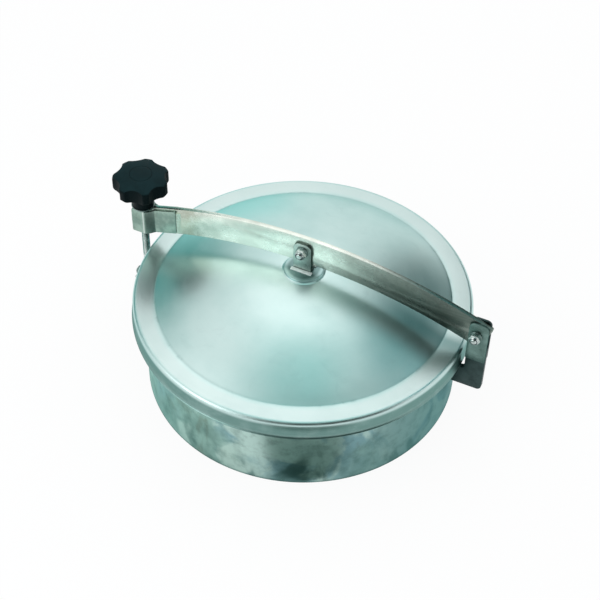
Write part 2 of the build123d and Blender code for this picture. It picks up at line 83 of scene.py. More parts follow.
class NodeBench:
    """A small bench for wiring the nodes of one material, or of the surround."""

    def __init__(self, owner: bpy.types.Material | bpy.types.World, kind: str = "Material") -> None:
        """Clears the owner's nodes and sets out its output.

        Args:
            owner: the material or the world.
            kind: "Material" or "World".
        """
        owner.use_nodes = True
        self.owner = owner
        self.tree = owner.node_tree
        self.tree.nodes.clear()
        self.output = self.add(f"Output{kind}")

    @cached_property
    def place(self) -> Socket:
        """The object's own coordinates."""
        return self.add("TexCoord").outputs["Object"]

    def wire(self, source: Value, target: Socket) -> None:
        """Sets a socket from another socket or from a plain value.

        Args:
            source: a socket, a number or a tuple.
            target: the input that takes it.
        """
        if isinstance(source, bpy.types.NodeSocket):
            self.tree.links.new(source, target)
        elif isinstance(source, tuple) and len(source) == 3 and target.type == "RGBA":
            target.default_value = (*source, 1.0)
        else:
            target.default_value = source

    def add(
        self, kind: str, values: dict[str | int, Value] | None = None, **settings: str
    ) -> bpy.types.Node:
        """Adds a node and sets it up.

        Args:
            kind: the node's kind, without the "ShaderNode" that it starts with.
            values: what its inputs take, by the input's name or number.
            settings: its other settings, by name.

        Returns:
            The node.
        """
        node = self.tree.nodes.new(f"ShaderNode{kind}")
        for name, setting in settings.items():
            setattr(node, name, setting)
        for key, value in (values or {}).items():
            self.wire(value, node.inputs[key])
        return node

    def close(self, shader: Socket) -> None:
        """Wires a shader to the output."""
        self.wire(shader, self.output.inputs[0])

    def math(self, operation: str, a: Value, b: Value = 0.0) -> Socket:
        """One arithmetic step.

        Args:
            operation: the Math node's operation.
            a: the first value.
            b: the second value.

        Returns:
            The result's socket.
        """
        return self.add("Math", {0: a, 1: b}, operation=operation).outputs[0]

    def product(self, *shares: Socket) -> Socket:
        """Multiplies values with one another."""
        return reduce(lambda so_far, share: self.math("MULTIPLY", so_far, share), shares)

    def gap(self, value: Socket, middle: float) -> Socket:
        """How far a value is from a middle one, on either side."""
        return self.math("ABSOLUTE", self.math("SUBTRACT", value, middle))

    def wander(
        self, value: Socket, noise: Socket, reach: float, low: float = 0.0, high: float = 1.0
    ) -> Socket:
        """Shifts a value to and fro with a noise field, so that a border in it runs unevenly.

        Args:
            value: the value to shift.
            noise: the field.
            reach: the greatest shift either way.
            low: the field's value at the lowest shift.
            high: the field's value at the highest shift.

        Returns:
            The shifted value's socket.
        """
        return self.math("ADD", value, self.ramp(noise, low, high, -reach, reach))

    def stretch(self, scale: tuple[float, float, float]) -> Socket:
        """Object coordinates times a factor for each axis, so that a noise there runs in streaks."""
        return self.add("Mapping", {"Vector": self.place, "Scale": scale}).outputs["Vector"]

    def parts(self, place: Socket | None = None) -> tuple[Socket, Socket, Socket]:
        """The X, Y and Z of a place.

        Args:
            place: the coordinates to split, or None for the object's own.

        Returns:
            The three sockets.
        """
        node = self.add("SeparateXYZ", {0: place or self.place})
        return node.outputs[0], node.outputs[1], node.outputs[2]

    def radius(self) -> Socket:
        """The distance from the object's Z axis."""
        x, y, _ = self.parts()
        return self.math("SQRT", self.math("ADD", self.product(x, x), self.product(y, y)))

    def facing(self, axis: str) -> Socket:
        """How squarely the surface faces along one of the object's axes, from 0 to 1.

        Args:
            axis: "X", "Y" or "Z".

        Returns:
            The share's socket.
        """
        turned = self.add("TexCoord").outputs["Normal"]
        return self.math("ABSOLUTE", self.parts(turned)["XYZ".index(axis)])

    def polar(self, radial: float, round_way: float, upright: float) -> Socket:
        """Coordinates around the Z axis, for marks that follow a turned surface.

        Args:
            radial: the factor on the radius.
            round_way: the factor on the turn, in radians.
            upright: the factor on the height.

        Returns:
            The coordinates' socket.
        """
        x, y, z = self.parts()
        ways = {
            0: self.math("MULTIPLY", self.radius(), radial),
            1: self.math("MULTIPLY", self.math("ARCTAN2", y, x), round_way),
            2: self.math("MULTIPLY", z, upright),
        }
        return self.add("CombineXYZ", ways).outputs[0]

    def noise(
        self,
        scale: float,
        detail: float,
        rough: float,
        place: Socket | None = None,
        twist: float = 0.0,
    ) -> Socket:
        """A noise field from 0 to 1.

        Args:
            scale: how many features there are in a metre.
            detail: the number of finer octaves.
            rough: how strong the finer octaves are.
            place: the coordinates to read, or None for the object's own.
            twist: how far the field is distorted.

        Returns:
            The field's socket.
        """
        values = {
            "Vector": place or self.place,
            "Scale": scale,
            "Detail": detail,
            "Roughness": rough,
            "Distortion": twist,
        }
        return self.add("TexNoise", values).outputs["Fac"]

    def ramp(
        self, value: Socket, low: float, high: float, to_low: float = 0.0, to_high: float = 1.0
    ) -> Socket:
        """Maps a range of values to another, with a soft start and end.

        Args:
            value: the value to map.
            low: where the range starts.
            high: where the range ends.
            to_low: the result at the start.
            to_high: the result at the end.

        Returns:
            The mapped value's socket.
        """
        values = {"Value": value, "From Min": low, "From Max": high, "To Min": to_low, "To Max": to_high}
        return self.add("MapRange", values, interpolation_type="SMOOTHSTEP").outputs["Result"]

    def blend(self, share: Socket, first: Socket | Colour, second: Colour) -> Socket:
        """Blends two colours.

        Args:
            share: how much of the second colour shows.
            first: the colour at a share of 0.
            second: the colour at a share of 1.

        Returns:
            The blended colour's socket.
        """
        return self.add("Mix", {0: share, 6: first, 7: second}, data_type="RGBA").outputs[2]

    def coats(self, colour: Socket | Colour, *coats: tuple[Socket, Colour]) -> Socket:
        """Lays coats of colour over one another.

        Args:
            colour: the colour underneath.
            coats: each coat's share and tone, the lowest first.

        Returns:
            The colour's socket.
        """
        for share, tone in coats:
            colour = self.blend(share, colour, tone)
        return colour

    def bump(self, height: Socket, depth: float, under: Socket | None = None) -> Socket:
        """Turns a field into relief.

        Args:
            height: the field.
            depth: the relief's depth in metres.
            under: a coarser relief that this one lies on.

        Returns:
            The normal's socket.
        """
        values = {"Strength": 1.0, "Distance": depth, "Height": height}
        if under is not None:
            values["Normal"] = under
        return self.add("Bump", values).outputs["Normal"]

    def surface(
        self, metallic: float, colour: Socket, roughness: Socket, normal: Socket, edge: Colour = WHITE
    ) -> bpy.types.Node:
        """Closes the material with a surface shader.

        Args:
            metallic: 1 for bare metal, 0 for what isn't metal, or a share for metal that scatters.
            colour: the colour's socket.
            roughness: the roughness's socket.
            normal: the relief's socket.
            edge: the tint of what mirrors at a grazing angle.

        Returns:
            The shader's node.
        """
        values = {"Metallic": metallic, "Base Color": colour, "Roughness": roughness, "Normal": normal}
        shader = self.add("BsdfPrincipled", values | {"Specular Tint": edge})
        self.close(shader.outputs[0])
        return shader

    def seen(self, *also: str) -> Socket:
        """1 for what the camera or a mirroring surface sees, and 0 for the rest.

        Args:
            also: the names of other rays that count as seen.

        Returns:
            The share's socket.
        """
        rays = self.add("LightPath").outputs
        names = ("Is Camera Ray", "Is Glossy Ray", *also)
        return reduce(lambda so_far, ray: self.math("MAXIMUM", so_far, ray), [rays[name] for name in names])

    def shared(self, share: Socket, first: Socket, second: Socket) -> None:
        """Closes with two shaders, the second by its share."""
        self.close(self.add("MixShader", {0: share, 1: first, 2: second}).outputs[0])


@dataclass(frozen=True)
class SteelFinish:
    """Stainless steel with a grain, clouds, pickling blotches, smears and fine relief."""

    name: str
    bright: Colour
    dull: Colour
    roughness: float
    metallic: float = 1.0
    roughness_spread: float = 0.1
    cloud_scale: float = 14.0
    cloud_low: float = 0.35
    cloud_high: float = 0.68
    grain: Grain = Grain.NONE
    grain_scale: float = 900.0
    grain_run: float = 0.02
    grain_turn: float = 4.0
    grain_tone: float = 0.12
    grain_shade: float = 0.6
    grain_rough: float = 0.03
    grain_depth: float = 0.00003
    wave_depth: float = 0.0002
    wave_scale: float = 9.0
    stain: Colour = (0.1, 0.12, 0.11)
    stain_scale: float = 30.0
    stain_share: float = 0.2
    edge: Colour = WHITE

    def streaks(self, bench: NodeBench) -> Socket:
        """The field of fine marks, drawn the way that the grain runs.

        Args:
            bench: the material in work.

        Returns:
            The field's socket.
        """
        scale = self.grain_scale
        if self.grain is Grain.NONE:
            return bench.noise(scale, 2.0, 0.6)
        if self.grain is Grain.ALONG_BAR:
            way = bench.stretch((scale * self.grain_run, scale, scale))
        else:
            way = bench.polar(scale, self.grain_turn, scale)
        return bench.noise(1.0, 3.0, 0.7, way)

    def toned(self, bench: NodeBench, colour: Socket, smear: Socket) -> Socket:
        """Lays local tones over the colour; the plain finish has none."""
        return colour

    def material(self) -> bpy.types.Material:
        """Builds the material."""
        bench = NodeBench(bpy.data.materials.new(self.name))
        cloud = bench.ramp(bench.noise(self.cloud_scale, 5.0, 0.62), self.cloud_low, self.cloud_high)
        grain = self.streaks(bench)
        spots = bench.noise(self.stain_scale, 6.0, 0.6, twist=0.8)
        blotch = bench.ramp(spots, 0.55, 0.72, 0.0, self.stain_share)
        smear = bench.ramp(bench.noise(self.cloud_scale * 5.0, 4.0, 0.7), 0.4, 0.75)
        colour = bench.coats(self.bright, (cloud, self.dull), (blotch, self.stain))
        colour = self.toned(bench, colour, smear)
        shade = tuple(channel * self.grain_shade for channel in self.bright)
        colour = bench.blend(bench.ramp(grain, 0.35, 0.75, self.grain_tone, 0.0), colour, shade)
        smooth, coarse = self.roughness - self.grain_rough, self.roughness + self.grain_rough
        rough = bench.math("MULTIPLY", bench.math("ADD", cloud, smear), self.roughness_spread * 0.5)
        rough = bench.math("ADD", rough, bench.ramp(grain, 0.3, 0.7, smooth, coarse))
        wave = bench.bump(bench.noise(self.wave_scale, 2.0, 0.4), self.wave_depth)
        bench.surface(self.metallic, colour, rough, bench.bump(grain, self.grain_depth, wave), self.edge)
        return bench.owner


@dataclass(frozen=True)
class LidFinish(SteelFinish):
    """The lid's satin sheet: pale flat rim, painted shade on the skirt and in the crease, painted bar
    reflection.
    """

    # Painted shade: the darker tone laid on the skirt below the rim, a little weaker on the hem.
    skirt: Colour = (0.155, 0.285, 0.262)
    skirt_top: float = 0.1275
    skirt_fade: float = 0.0060
    skirt_worn: float = 0.86
    hem: float = 0.1085
    hem_rise: float = 0.002
    hem_share: float = 0.92
    flat: Colour = (0.655, 0.755, 0.74)
    flat_share: float = 0.7
    flat_fade: float = 0.008
    flat_end: float = 0.2095
    flat_gone: float = 0.2125
    crease: float = 0.189
    crease_width: float = 0.0035
    # Painted shade: the darker tone laid in the dome's crease.
    polish: Colour = (0.30, 0.46, 0.45)
    polish_low: float = 0.2
    polish_high: float = 0.75
    # Painted reflection: the bar's dark reflection, laid on the dome in front of the bar's hinge end.
    grease: Colour = (0.17, 0.30, 0.29)
    grease_start: float = 0.06
    grease_end: float = 0.16
    grease_width: float = 0.055
    grease_share: float = 0.85
    grease_fade: float = 0.02
    grease_wander: float = 0.01

    def toned(self, bench: NodeBench, colour: Socket, smear: Socket) -> Socket:
        """Tones the flat rim, and paints the bar's reflection beside the hinge and shade in the crease and
        on the skirt.

        Args:
            bench: the material in work.
            colour: the colour so far.
            smear: a field that makes the tones uneven.

        Returns:
            The toned colour's socket.
        """
        x, y, z = bench.parts()
        radius = bench.radius()
        level = bench.product(
            bench.ramp(radius, self.crease, self.crease + self.flat_fade, 0.0, self.flat_share),
            bench.ramp(radius, self.flat_end, self.flat_gone, 1.0, 0.0),
        )
        # Painted reflection of the bar, in front of it towards the hinge.
        along = bench.ramp(bench.wander(x, smear, self.grease_wander), self.grease_start, self.grease_end)
        across = bench.product(
            bench.ramp(y, -self.grease_width, 0.0, 0.0, self.grease_share),
            bench.ramp(y, 0.0, self.grease_fade, 1.0, 0.0),
        )
        # Painted shade in the crease, uneven along it.
        residue = bench.product(
            bench.ramp(bench.gap(radius, self.crease), 0.0, self.crease_width, 1.0, 0.0),
            bench.ramp(smear, 0.2, 0.9, self.polish_low, self.polish_high),
        )
        # Painted shade on the skirt, from its top down to the hem, uneven around it.
        upright = bench.product(
            bench.ramp(z, self.hem, self.hem + self.hem_rise, self.hem_share, 1.0),
            bench.ramp(z, self.skirt_top - self.skirt_fade, self.skirt_top, 1.0, 0.0),
            bench.ramp(smear, 0.0, 1.0, 1.0, self.skirt_worn),
        )
        return bench.coats(
            colour,
            (level, self.flat),
            (bench.product(along, across), self.grease),
            (residue, self.polish),
            (upright, self.skirt),
        )


@dataclass(frozen=True)
class BarFinish(SteelFinish):
    """The flat bar's brushed faces, with painted shade towards the hinge end, darker towards the fork end,
    tinted by the weld.
    """

    # Painted shade: the darker tone laid on the bar towards its hinge end.
    handled: Colour = (0.10, 0.15, 0.13)
    handled_share: float = 0.88
    clear_x: float = 0.0
    dull_x: float = 0.19
    # The bar turns darker towards its fork end.
    gripped: Colour = (0.32, 0.42, 0.345)
    gripped_share: float = 0.65
    gripped_x: float = -0.115
    gripped_run: float = 0.06
    tint: Colour = (0.42, 0.40, 0.27)
    tint_share: float = 0.3
    tint_reach: float = 0.02
    weld_x: float = -0.172
    wander: float = 0.012

    def toned(self, bench: NodeBench, colour: Socket, smear: Socket) -> Socket:
        """Paints shade towards the hinge end, darkens the fork end and tints the metal beside the weld.

        Args:
            bench: the material in work.
            colour: the colour so far.
            smear: a field that makes the tones uneven.

        Returns:
            The toned colour's socket.
        """
        x = bench.wander(bench.parts()[0], smear, self.wander)
        grip_end = self.gripped_x - self.gripped_run
        return bench.coats(
            colour,
            # painted shade towards the hinge end
            (bench.ramp(x, self.clear_x, self.dull_x, 0.0, self.handled_share), self.handled),
            # darker towards the fork end
            (bench.ramp(x, grip_end, self.gripped_x, self.gripped_share, 0.0), self.gripped),
            (bench.ramp(bench.gap(x, self.weld_x), 0.0, self.tint_reach, self.tint_share, 0.0), self.tint),
        )


@dataclass(frozen=True)
class PlateFinish(SteelFinish):
    """Plate cut to shape: painted shade darkens its cut edges, square to the flat faces."""

    # Painted shade: the tone laid on the cut edges and on the foot.
    cut: Colour = (0.030, 0.058, 0.053)
    cut_share: float = 0.92
    edge: Colour = (0.30, 0.48, 0.46)
    foot_z: float = -1.0
    foot_start: float = 0.002
    foot_end: float = 0.014
    foot_share: float = 0.75
    foot_wander: float = 0.004

    def toned(self, bench: NodeBench, colour: Socket, smear: Socket) -> Socket:
        """Paints shade on the cut edges and on the foot, where the plate is welded on.

        Args:
            bench: the material in work.
            colour: the colour so far.
            smear: a field that makes the tones uneven.

        Returns:
            The toned colour's socket.
        """
        height = bench.math("ADD", bench.parts()[2], bench.ramp(smear, 0.0, 1.0, 0.0, self.foot_wander))
        start, end = self.foot_z + self.foot_start, self.foot_z + self.foot_end
        return bench.coats(
            colour,
            # painted shade at the foot
            (bench.ramp(height, start, end, self.foot_share, 0.0), self.cut),
            # painted shade on the cut edges, by the way that they face
            (bench.ramp(bench.facing("Y"), 0.35, 0.8, self.cut_share, 0.0), self.cut),
        )


@dataclass(frozen=True)
class PadFinish(SteelFinish):
    """The clevis's round pad: painted shade in the middle, a painted highlight towards its rim."""

    # Painted highlight: the lighter tone laid on the pad's rim.
    rim: Colour = (0.42, 0.60, 0.59)
    rim_start: float = 0.0185
    rim_end: float = 0.0225

    def toned(self, bench: NodeBench, colour: Socket, smear: Socket) -> Socket:
        """Paints a highlight on the rim."""
        return bench.blend(bench.ramp(bench.radius(), self.rim_start, self.rim_end), colour, self.rim)


@dataclass(frozen=True)
class ForkFinish(SteelFinish):
    """The joggled fork strips: painted shade in the joggle, a painted highlight where they were bent."""

    joggle_start: float = -0.2215
    joggle_end: float = -0.2085
    joggle_fade: float = 0.002
    # Painted shade: the tone laid in the joggle.
    dark: Colour = (0.15, 0.21, 0.185)
    dark_share: float = 0.75
    dark_fade: float = 0.004
    # Painted highlight: the tone laid along the bend.
    rubbed: Colour = (0.80, 0.88, 0.84)
    rubbed_share: float = 0.85
    rubbed_shift: float = 0.0008
    rubbed_reach: float = 0.0014

    def toned(self, bench: NodeBench, colour: Socket, smear: Socket) -> Socket:
        """Paints shade in the joggle and a highlight on its bend.

        Args:
            bench: the material in work.
            colour: the colour so far.
            smear: a field that makes the tones uneven.

        Returns:
            The toned colour's socket.
        """
        x = bench.parts()[0]
        last, gone = self.joggle_end - self.dark_fade, self.joggle_end + self.joggle_fade
        # painted shade in the joggle
        joggle = bench.product(
            bench.ramp(x, self.joggle_start, self.joggle_start + self.joggle_fade),
            bench.ramp(x, last, gone, self.dark_share, 0.0),
        )
        # painted highlight along the bend
        bend = bench.gap(x, self.joggle_start - self.rubbed_shift)
        return bench.coats(
            colour,
            (joggle, self.dark),
            (bench.ramp(bend, 0.0, self.rubbed_reach, self.rubbed_share, 0.0), self.rubbed),
        )


@dataclass(frozen=True)
class PickledNeckFinish:
    """Rolled sheet as it comes from the pickling bath: soft blotches and brown tints, with painted shade
    low down, at the foot and on the hinge's side, and painted light on the knob's side.
    """

    name: str
    body: Colour = (0.32, 0.50, 0.445)
    pale: Colour = (0.54, 0.72, 0.65)
    # Painted light: the lighter tone laid on the knob's side of the neck.
    green: Colour = (0.38, 0.61, 0.54)
    shaded: Colour = (0.10, 0.20, 0.205)
    blue: Colour = (0.25, 0.42, 0.45)
    # Dark tone for the real mottling, and for the painted shade low down and at the foot.
    deep: Colour = (0.055, 0.115, 0.105)
    rusty: Colour = (0.17, 0.20, 0.145)
    edge: Colour = (0.48, 0.72, 0.70)
    height: float = 0.107
    deep_start: float = 0.006
    deep_share: float = 0.72
    deep_wander: float = 0.022
    green_start: float = -0.02
    green_end: float = -0.16
    shaded_start: float = 0.12
    shaded_end: float = 0.19
    side_wander: float = 0.03
    foot_height: float = 0.005
    wave_depth: float = 0.0006
    relief_depth: float = 0.00012

    def material(self) -> bpy.types.Material:
        """Builds the material."""
        bench = NodeBench(bpy.data.materials.new(self.name))
        x, _, z = bench.parts()
        broad = bench.noise(6.5, 3.0, 0.5, bench.stretch((1.0, 1.0, 0.7)), 0.4)
        blotch = bench.noise(13.0, 5.0, 0.5, bench.stretch((1.0, 1.0, 0.8)), 1.0)
        curtain = bench.noise(17.0, 4.0, 0.5, bench.stretch((1.0, 1.0, 0.5)), 0.7)
        cloud = bench.noise(60.0, 6.0, 0.65)
        scratch = bench.noise(1.0, 2.0, 0.5, bench.polar(40.0, 30.0, 900.0), 0.6)
        level = bench.wander(z, curtain, self.deep_wander, 0.3, 0.7)
        side = bench.wander(x, curtain, self.side_wander, 0.3, 0.7)
        # Painted shade on the lower part of the neck, uneven around it.
        low = bench.product(
            bench.ramp(level, self.deep_start, self.height * self.deep_share, 1.0, 0.0),
            bench.ramp(curtain, 0.40, 0.56, 0.9, 0.25),
        )
        colour = bench.coats(
            self.body,
            (bench.ramp(broad, 0.40, 0.58), self.blue),
            (bench.ramp(blotch, 0.50, 0.60, 0.0, 0.8), self.pale),
            (bench.ramp(blotch, 0.34, 0.44, 0.5, 0.0), self.rusty),
            (low, self.deep),
            # painted light on the knob's side
            (bench.ramp(side, self.green_end, self.green_start, 0.6, 0.0), self.green),
            (bench.ramp(side, self.shaded_start, self.shaded_end, 0.0, 0.75), self.shaded),
            (bench.ramp(cloud, 0.42, 0.74, 0.0, 0.4), self.deep),
            (bench.ramp(scratch, 0.72, 0.80, 0.0, 0.5), self.pale),
            # painted shade at the foot
            (bench.ramp(z, 0.0, self.foot_height, 0.65, 0.0), self.deep),
        )
        rough = bench.ramp(blotch, 0.35, 0.65, 0.5, 0.36)
        wave = bench.bump(bench.noise(10.0, 2.0, 0.4), self.wave_depth)
        bench.surface(1.0, colour, rough, bench.bump(cloud, self.relief_depth, wave), self.edge)
        return bench.owner


@dataclass(frozen=True)
class WeldFinish:
    """A brushed weld bead: bright ripples with straw and blue heat tint at the sides."""

    name: str
    bright: Colour = (0.62, 0.66, 0.62)
    straw: Colour = (0.44, 0.43, 0.32)
    blue: Colour = (0.22, 0.28, 0.33)
    relief_depth: float = 0.00008

    def material(self) -> bpy.types.Material:
        """Builds the material."""
        bench = NodeBench(bpy.data.materials.new(self.name))
        cloud = bench.noise(240.0, 4.0, 0.65)
        spots = bench.noise(420.0, 3.0, 0.6)
        colour = bench.coats(
            self.bright,
            (bench.ramp(cloud, 0.4, 0.6), self.straw),
            (bench.ramp(spots, 0.56, 0.7), self.blue),
        )
        rough = bench.ramp(cloud, 0.3, 0.7, 0.3, 0.5)
        bench.surface(1.0, colour, rough, bench.bump(bench.noise(900.0, 3.0, 0.6), self.relief_depth))
        return bench.owner


@dataclass(frozen=True)
class SoftFinish:
    """Rubber, nylon or moulded plastic: a dielectric with moulding texture, worn patches and painted light
    on faces square to Z.
    """

    name: str
    colour: Colour
    worn: Colour
    roughness: float
    smoother: float = 0.06
    rougher: float = 0.08
    texture_scale: float = 1400.0
    texture_depth: float = 0.00004
    wear_share: float = 0.4
    sheen: float = 0.0
    gloss: float = 0.5
    # Painted reflection: a tint on what the surface mirrors.
    gloss_tint: Colour = WHITE
    # Painted light: the lighter tone laid on faces square to Z, such as the knob's top.
    dust: Colour = (0.5, 0.5, 0.5)
    dust_share: float = 0.0

    def material(self) -> bpy.types.Material:
        """Builds the material."""
        bench = NodeBench(bpy.data.materials.new(self.name))
        cloud = bench.noise(60.0, 4.0, 0.6)
        pores = bench.noise(self.texture_scale, 2.0, 0.55)
        # Painted light on faces square to Z, uneven over them.
        dusty = bench.product(
            bench.ramp(bench.facing("Z"), 0.45, 0.97, 0.0, self.dust_share),
            bench.ramp(cloud, 0.3, 0.7, 0.6, 1.0),
        )
        colour = bench.coats(
            self.colour,
            (bench.ramp(cloud, 0.4, 0.8, 0.0, self.wear_share), self.worn),
            (dusty, self.dust),
        )
        smooth, coarse = self.roughness - self.smoother, self.roughness + self.rougher
        rough = bench.ramp(cloud, 0.3, 0.7, smooth, coarse)
        shader = bench.surface(0.0, colour, rough, bench.bump(pores, self.texture_depth), self.gloss_tint)
        shader.inputs["Specular IOR Level"].default_value = self.gloss
        shader.inputs["Sheen Weight"].default_value = self.sheen
        return bench.owner


class FinishRack:
    """Every finish of the cover, each built once."""

    def __init__(self) -> None:
        """Builds the materials."""
        self.lid = LidFinish(
            "satin_pressed_sheet",
            bright=(0.625, 0.785, 0.765),
            dull=(0.52, 0.705, 0.685),
            roughness=0.32,
            roughness_spread=0.08,
            cloud_scale=6.0,
            grain=Grain.AROUND,
            grain_tone=0.05,
            grain_depth=0.000004,
            wave_depth=0.0003,
            stain=(0.36, 0.52, 0.51),
            stain_share=0.14,
            edge=(0.66, 0.86, 0.84),
        ).material()
        # Painted shade: the pad is a darker copy of the lid's steel, with a painted highlight on its rim.
        self.pad = PadFinish(
            "satin_pad_painted_shade",
            bright=(0.22, 0.34, 0.33),
            dull=(0.15, 0.25, 0.24),
            roughness=0.34,
            cloud_scale=25.0,
            grain_tone=0.05,
            stain=(0.25, 0.38, 0.37),
            stain_share=0.3,
        ).material()
        self.neck = PickledNeckFinish("pickled_rolled_sheet").material()
        self.bar = BarFinish(
            "brushed_flat_bar",
            bright=(0.88, 0.92, 0.845),
            dull=(0.68, 0.735, 0.665),
            roughness=0.26,
            cloud_scale=20.0,
            grain=Grain.ALONG_BAR,
            grain_tone=0.2,
            grain_depth=0.00002,
            stain=(0.36, 0.42, 0.35),
            stain_share=0.25,
            edge=(0.85, 0.94, 0.90),
        ).material()
        self.fork = ForkFinish(
            "bent_fork_strip",
            bright=(0.35, 0.50, 0.43),
            dull=(0.23, 0.35, 0.30),
            roughness=0.36,
            cloud_scale=60.0,
            cloud_low=0.4,
            cloud_high=0.6,
            grain=Grain.ALONG_BAR,
            grain_tone=0.15,
            grain_depth=0.00002,
            stain=(0.20, 0.25, 0.20),
            stain_scale=70.0,
            stain_share=0.45,
        ).material()
        plate = PlateFinish(
            "dull_cut_plate",
            bright=(0.215, 0.335, 0.305),
            dull=(0.14, 0.225, 0.205),
            roughness=0.4,
            cloud_scale=60.0,
            grain_scale=500.0,
            grain_tone=0.3,
            grain_depth=0.00005,
            stain=(0.09, 0.14, 0.125),
            stain_scale=110.0,
            stain_share=0.5,
        )
        self.plate = plate.material()
        # The front cheek's foot gets painted shade, where it meets the bracket.
        cheek_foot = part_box("hinge_cheek_front")[0].z
        self.cheek = replace(plate, name="welded_hinge_cheek", foot_z=cheek_foot).material()
        self.clevis = PlateFinish(
            "bent_clevis_strap",
            bright=(0.56, 0.68, 0.63),
            dull=(0.38, 0.50, 0.46),
            roughness=0.36,
            cloud_scale=80.0,
            grain_scale=600.0,
            grain_tone=0.3,
            grain_depth=0.00005,
            stain=(0.13, 0.19, 0.17),
            stain_scale=140.0,
            stain_share=0.4,
        ).material()
        # Painted shade: a nearly black copy of the cut plate, for the bracket and the rear cheek.
        self.dark_plate = SteelFinish(
            "plate_in_painted_shade",
            bright=(0.050, 0.084, 0.082),
            dull=(0.032, 0.056, 0.055),
            roughness=0.42,
            cloud_scale=60.0,
            grain_tone=0.15,
            stain=(0.06, 0.085, 0.08),
            stain_share=0.4,
        ).material()
        self.fastener = SteelFinish(
            "bright_fastener_steel",
            bright=(0.62, 0.70, 0.68),
            dull=(0.42, 0.50, 0.48),
            roughness=0.22,
            cloud_scale=90.0,
            grain_scale=1600.0,
            grain_tone=0.1,
            stain=(0.14, 0.18, 0.17),
            stain_scale=220.0,
            stain_share=0.5,
        ).material()
        self.washer = SteelFinish(
            "stamped_washer_steel",
            bright=(0.26, 0.35, 0.33),
            dull=(0.15, 0.21, 0.20),
            roughness=0.3,
            cloud_scale=160.0,
            grain_scale=1600.0,
            stain=(0.06, 0.09, 0.08),
            stain_scale=260.0,
            stain_share=0.5,
        ).material()
        self.weld = WeldFinish("brushed_weld").material()
        # Painted highlight: a pale, half-diffuse steel that shows bright whatever it mirrors, for the welds
        # at the foot of the clevis strap.
        self.ground = SteelFinish(
            "ground_weld",
            bright=(0.84, 0.91, 0.88),
            dull=(0.62, 0.72, 0.69),
            roughness=0.34,
            metallic=0.45,
            cloud_scale=150.0,
            grain_tone=0.15,
            stain=(0.3, 0.36, 0.34),
            stain_scale=240.0,
            stain_share=0.35,
        ).material()
        self.rubber = SoftFinish(
            "food_grade_rubber",
            colour=(0.66, 0.67, 0.64),
            worn=(0.45, 0.46, 0.43),
            roughness=0.55,
            sheen=0.1,
        ).material()
        self.knob = SoftFinish(
            "black_moulded_plastic",
            colour=(0.003, 0.006, 0.0065),
            worn=(0.006, 0.011, 0.012),
            roughness=0.5,
            texture_scale=900.0,
            texture_depth=0.00006,
            gloss=0.06,
            # Painted reflection: the knob's reflections are tinted teal.
            gloss_tint=(0.4, 0.92, 1.0),
            # Painted light on the knob's top.
            dust=(0.009, 0.024, 0.027),
            dust_share=0.9,
        ).material()
        self.nylon = SoftFinish(
            "lock_nylon",
            colour=(0.03, 0.05, 0.06),
            worn=(0.08, 0.1, 0.1),
            roughness=0.45,
        ).material()


# ------------------------------------------------------------------------------ workshop


def stored(bm: Mesh, name: str) -> bpy.types.Mesh:
    """Keeps a mesh in work as a finished one.

    Args:
        bm: the mesh in work; it is freed.
        name: the finished mesh's name.

    Returns:
        The finished mesh.
    """
    mesh = bpy.data.meshes.new(name)
    bm.to_mesh(mesh)
    bm.free()
    return mesh


def linked(name: str, data: bpy.types.ID) -> bpy.types.Object:
    """Makes an object that shows a mesh, a lamp or a camera, and puts it in the scene.

    Args:
        name: the object's name.
        data: what it shows.

    Returns:
        The object.
    """
    item = bpy.data.objects.new(name, data)
    bpy.context.scene.collection.objects.link(item)
    return item


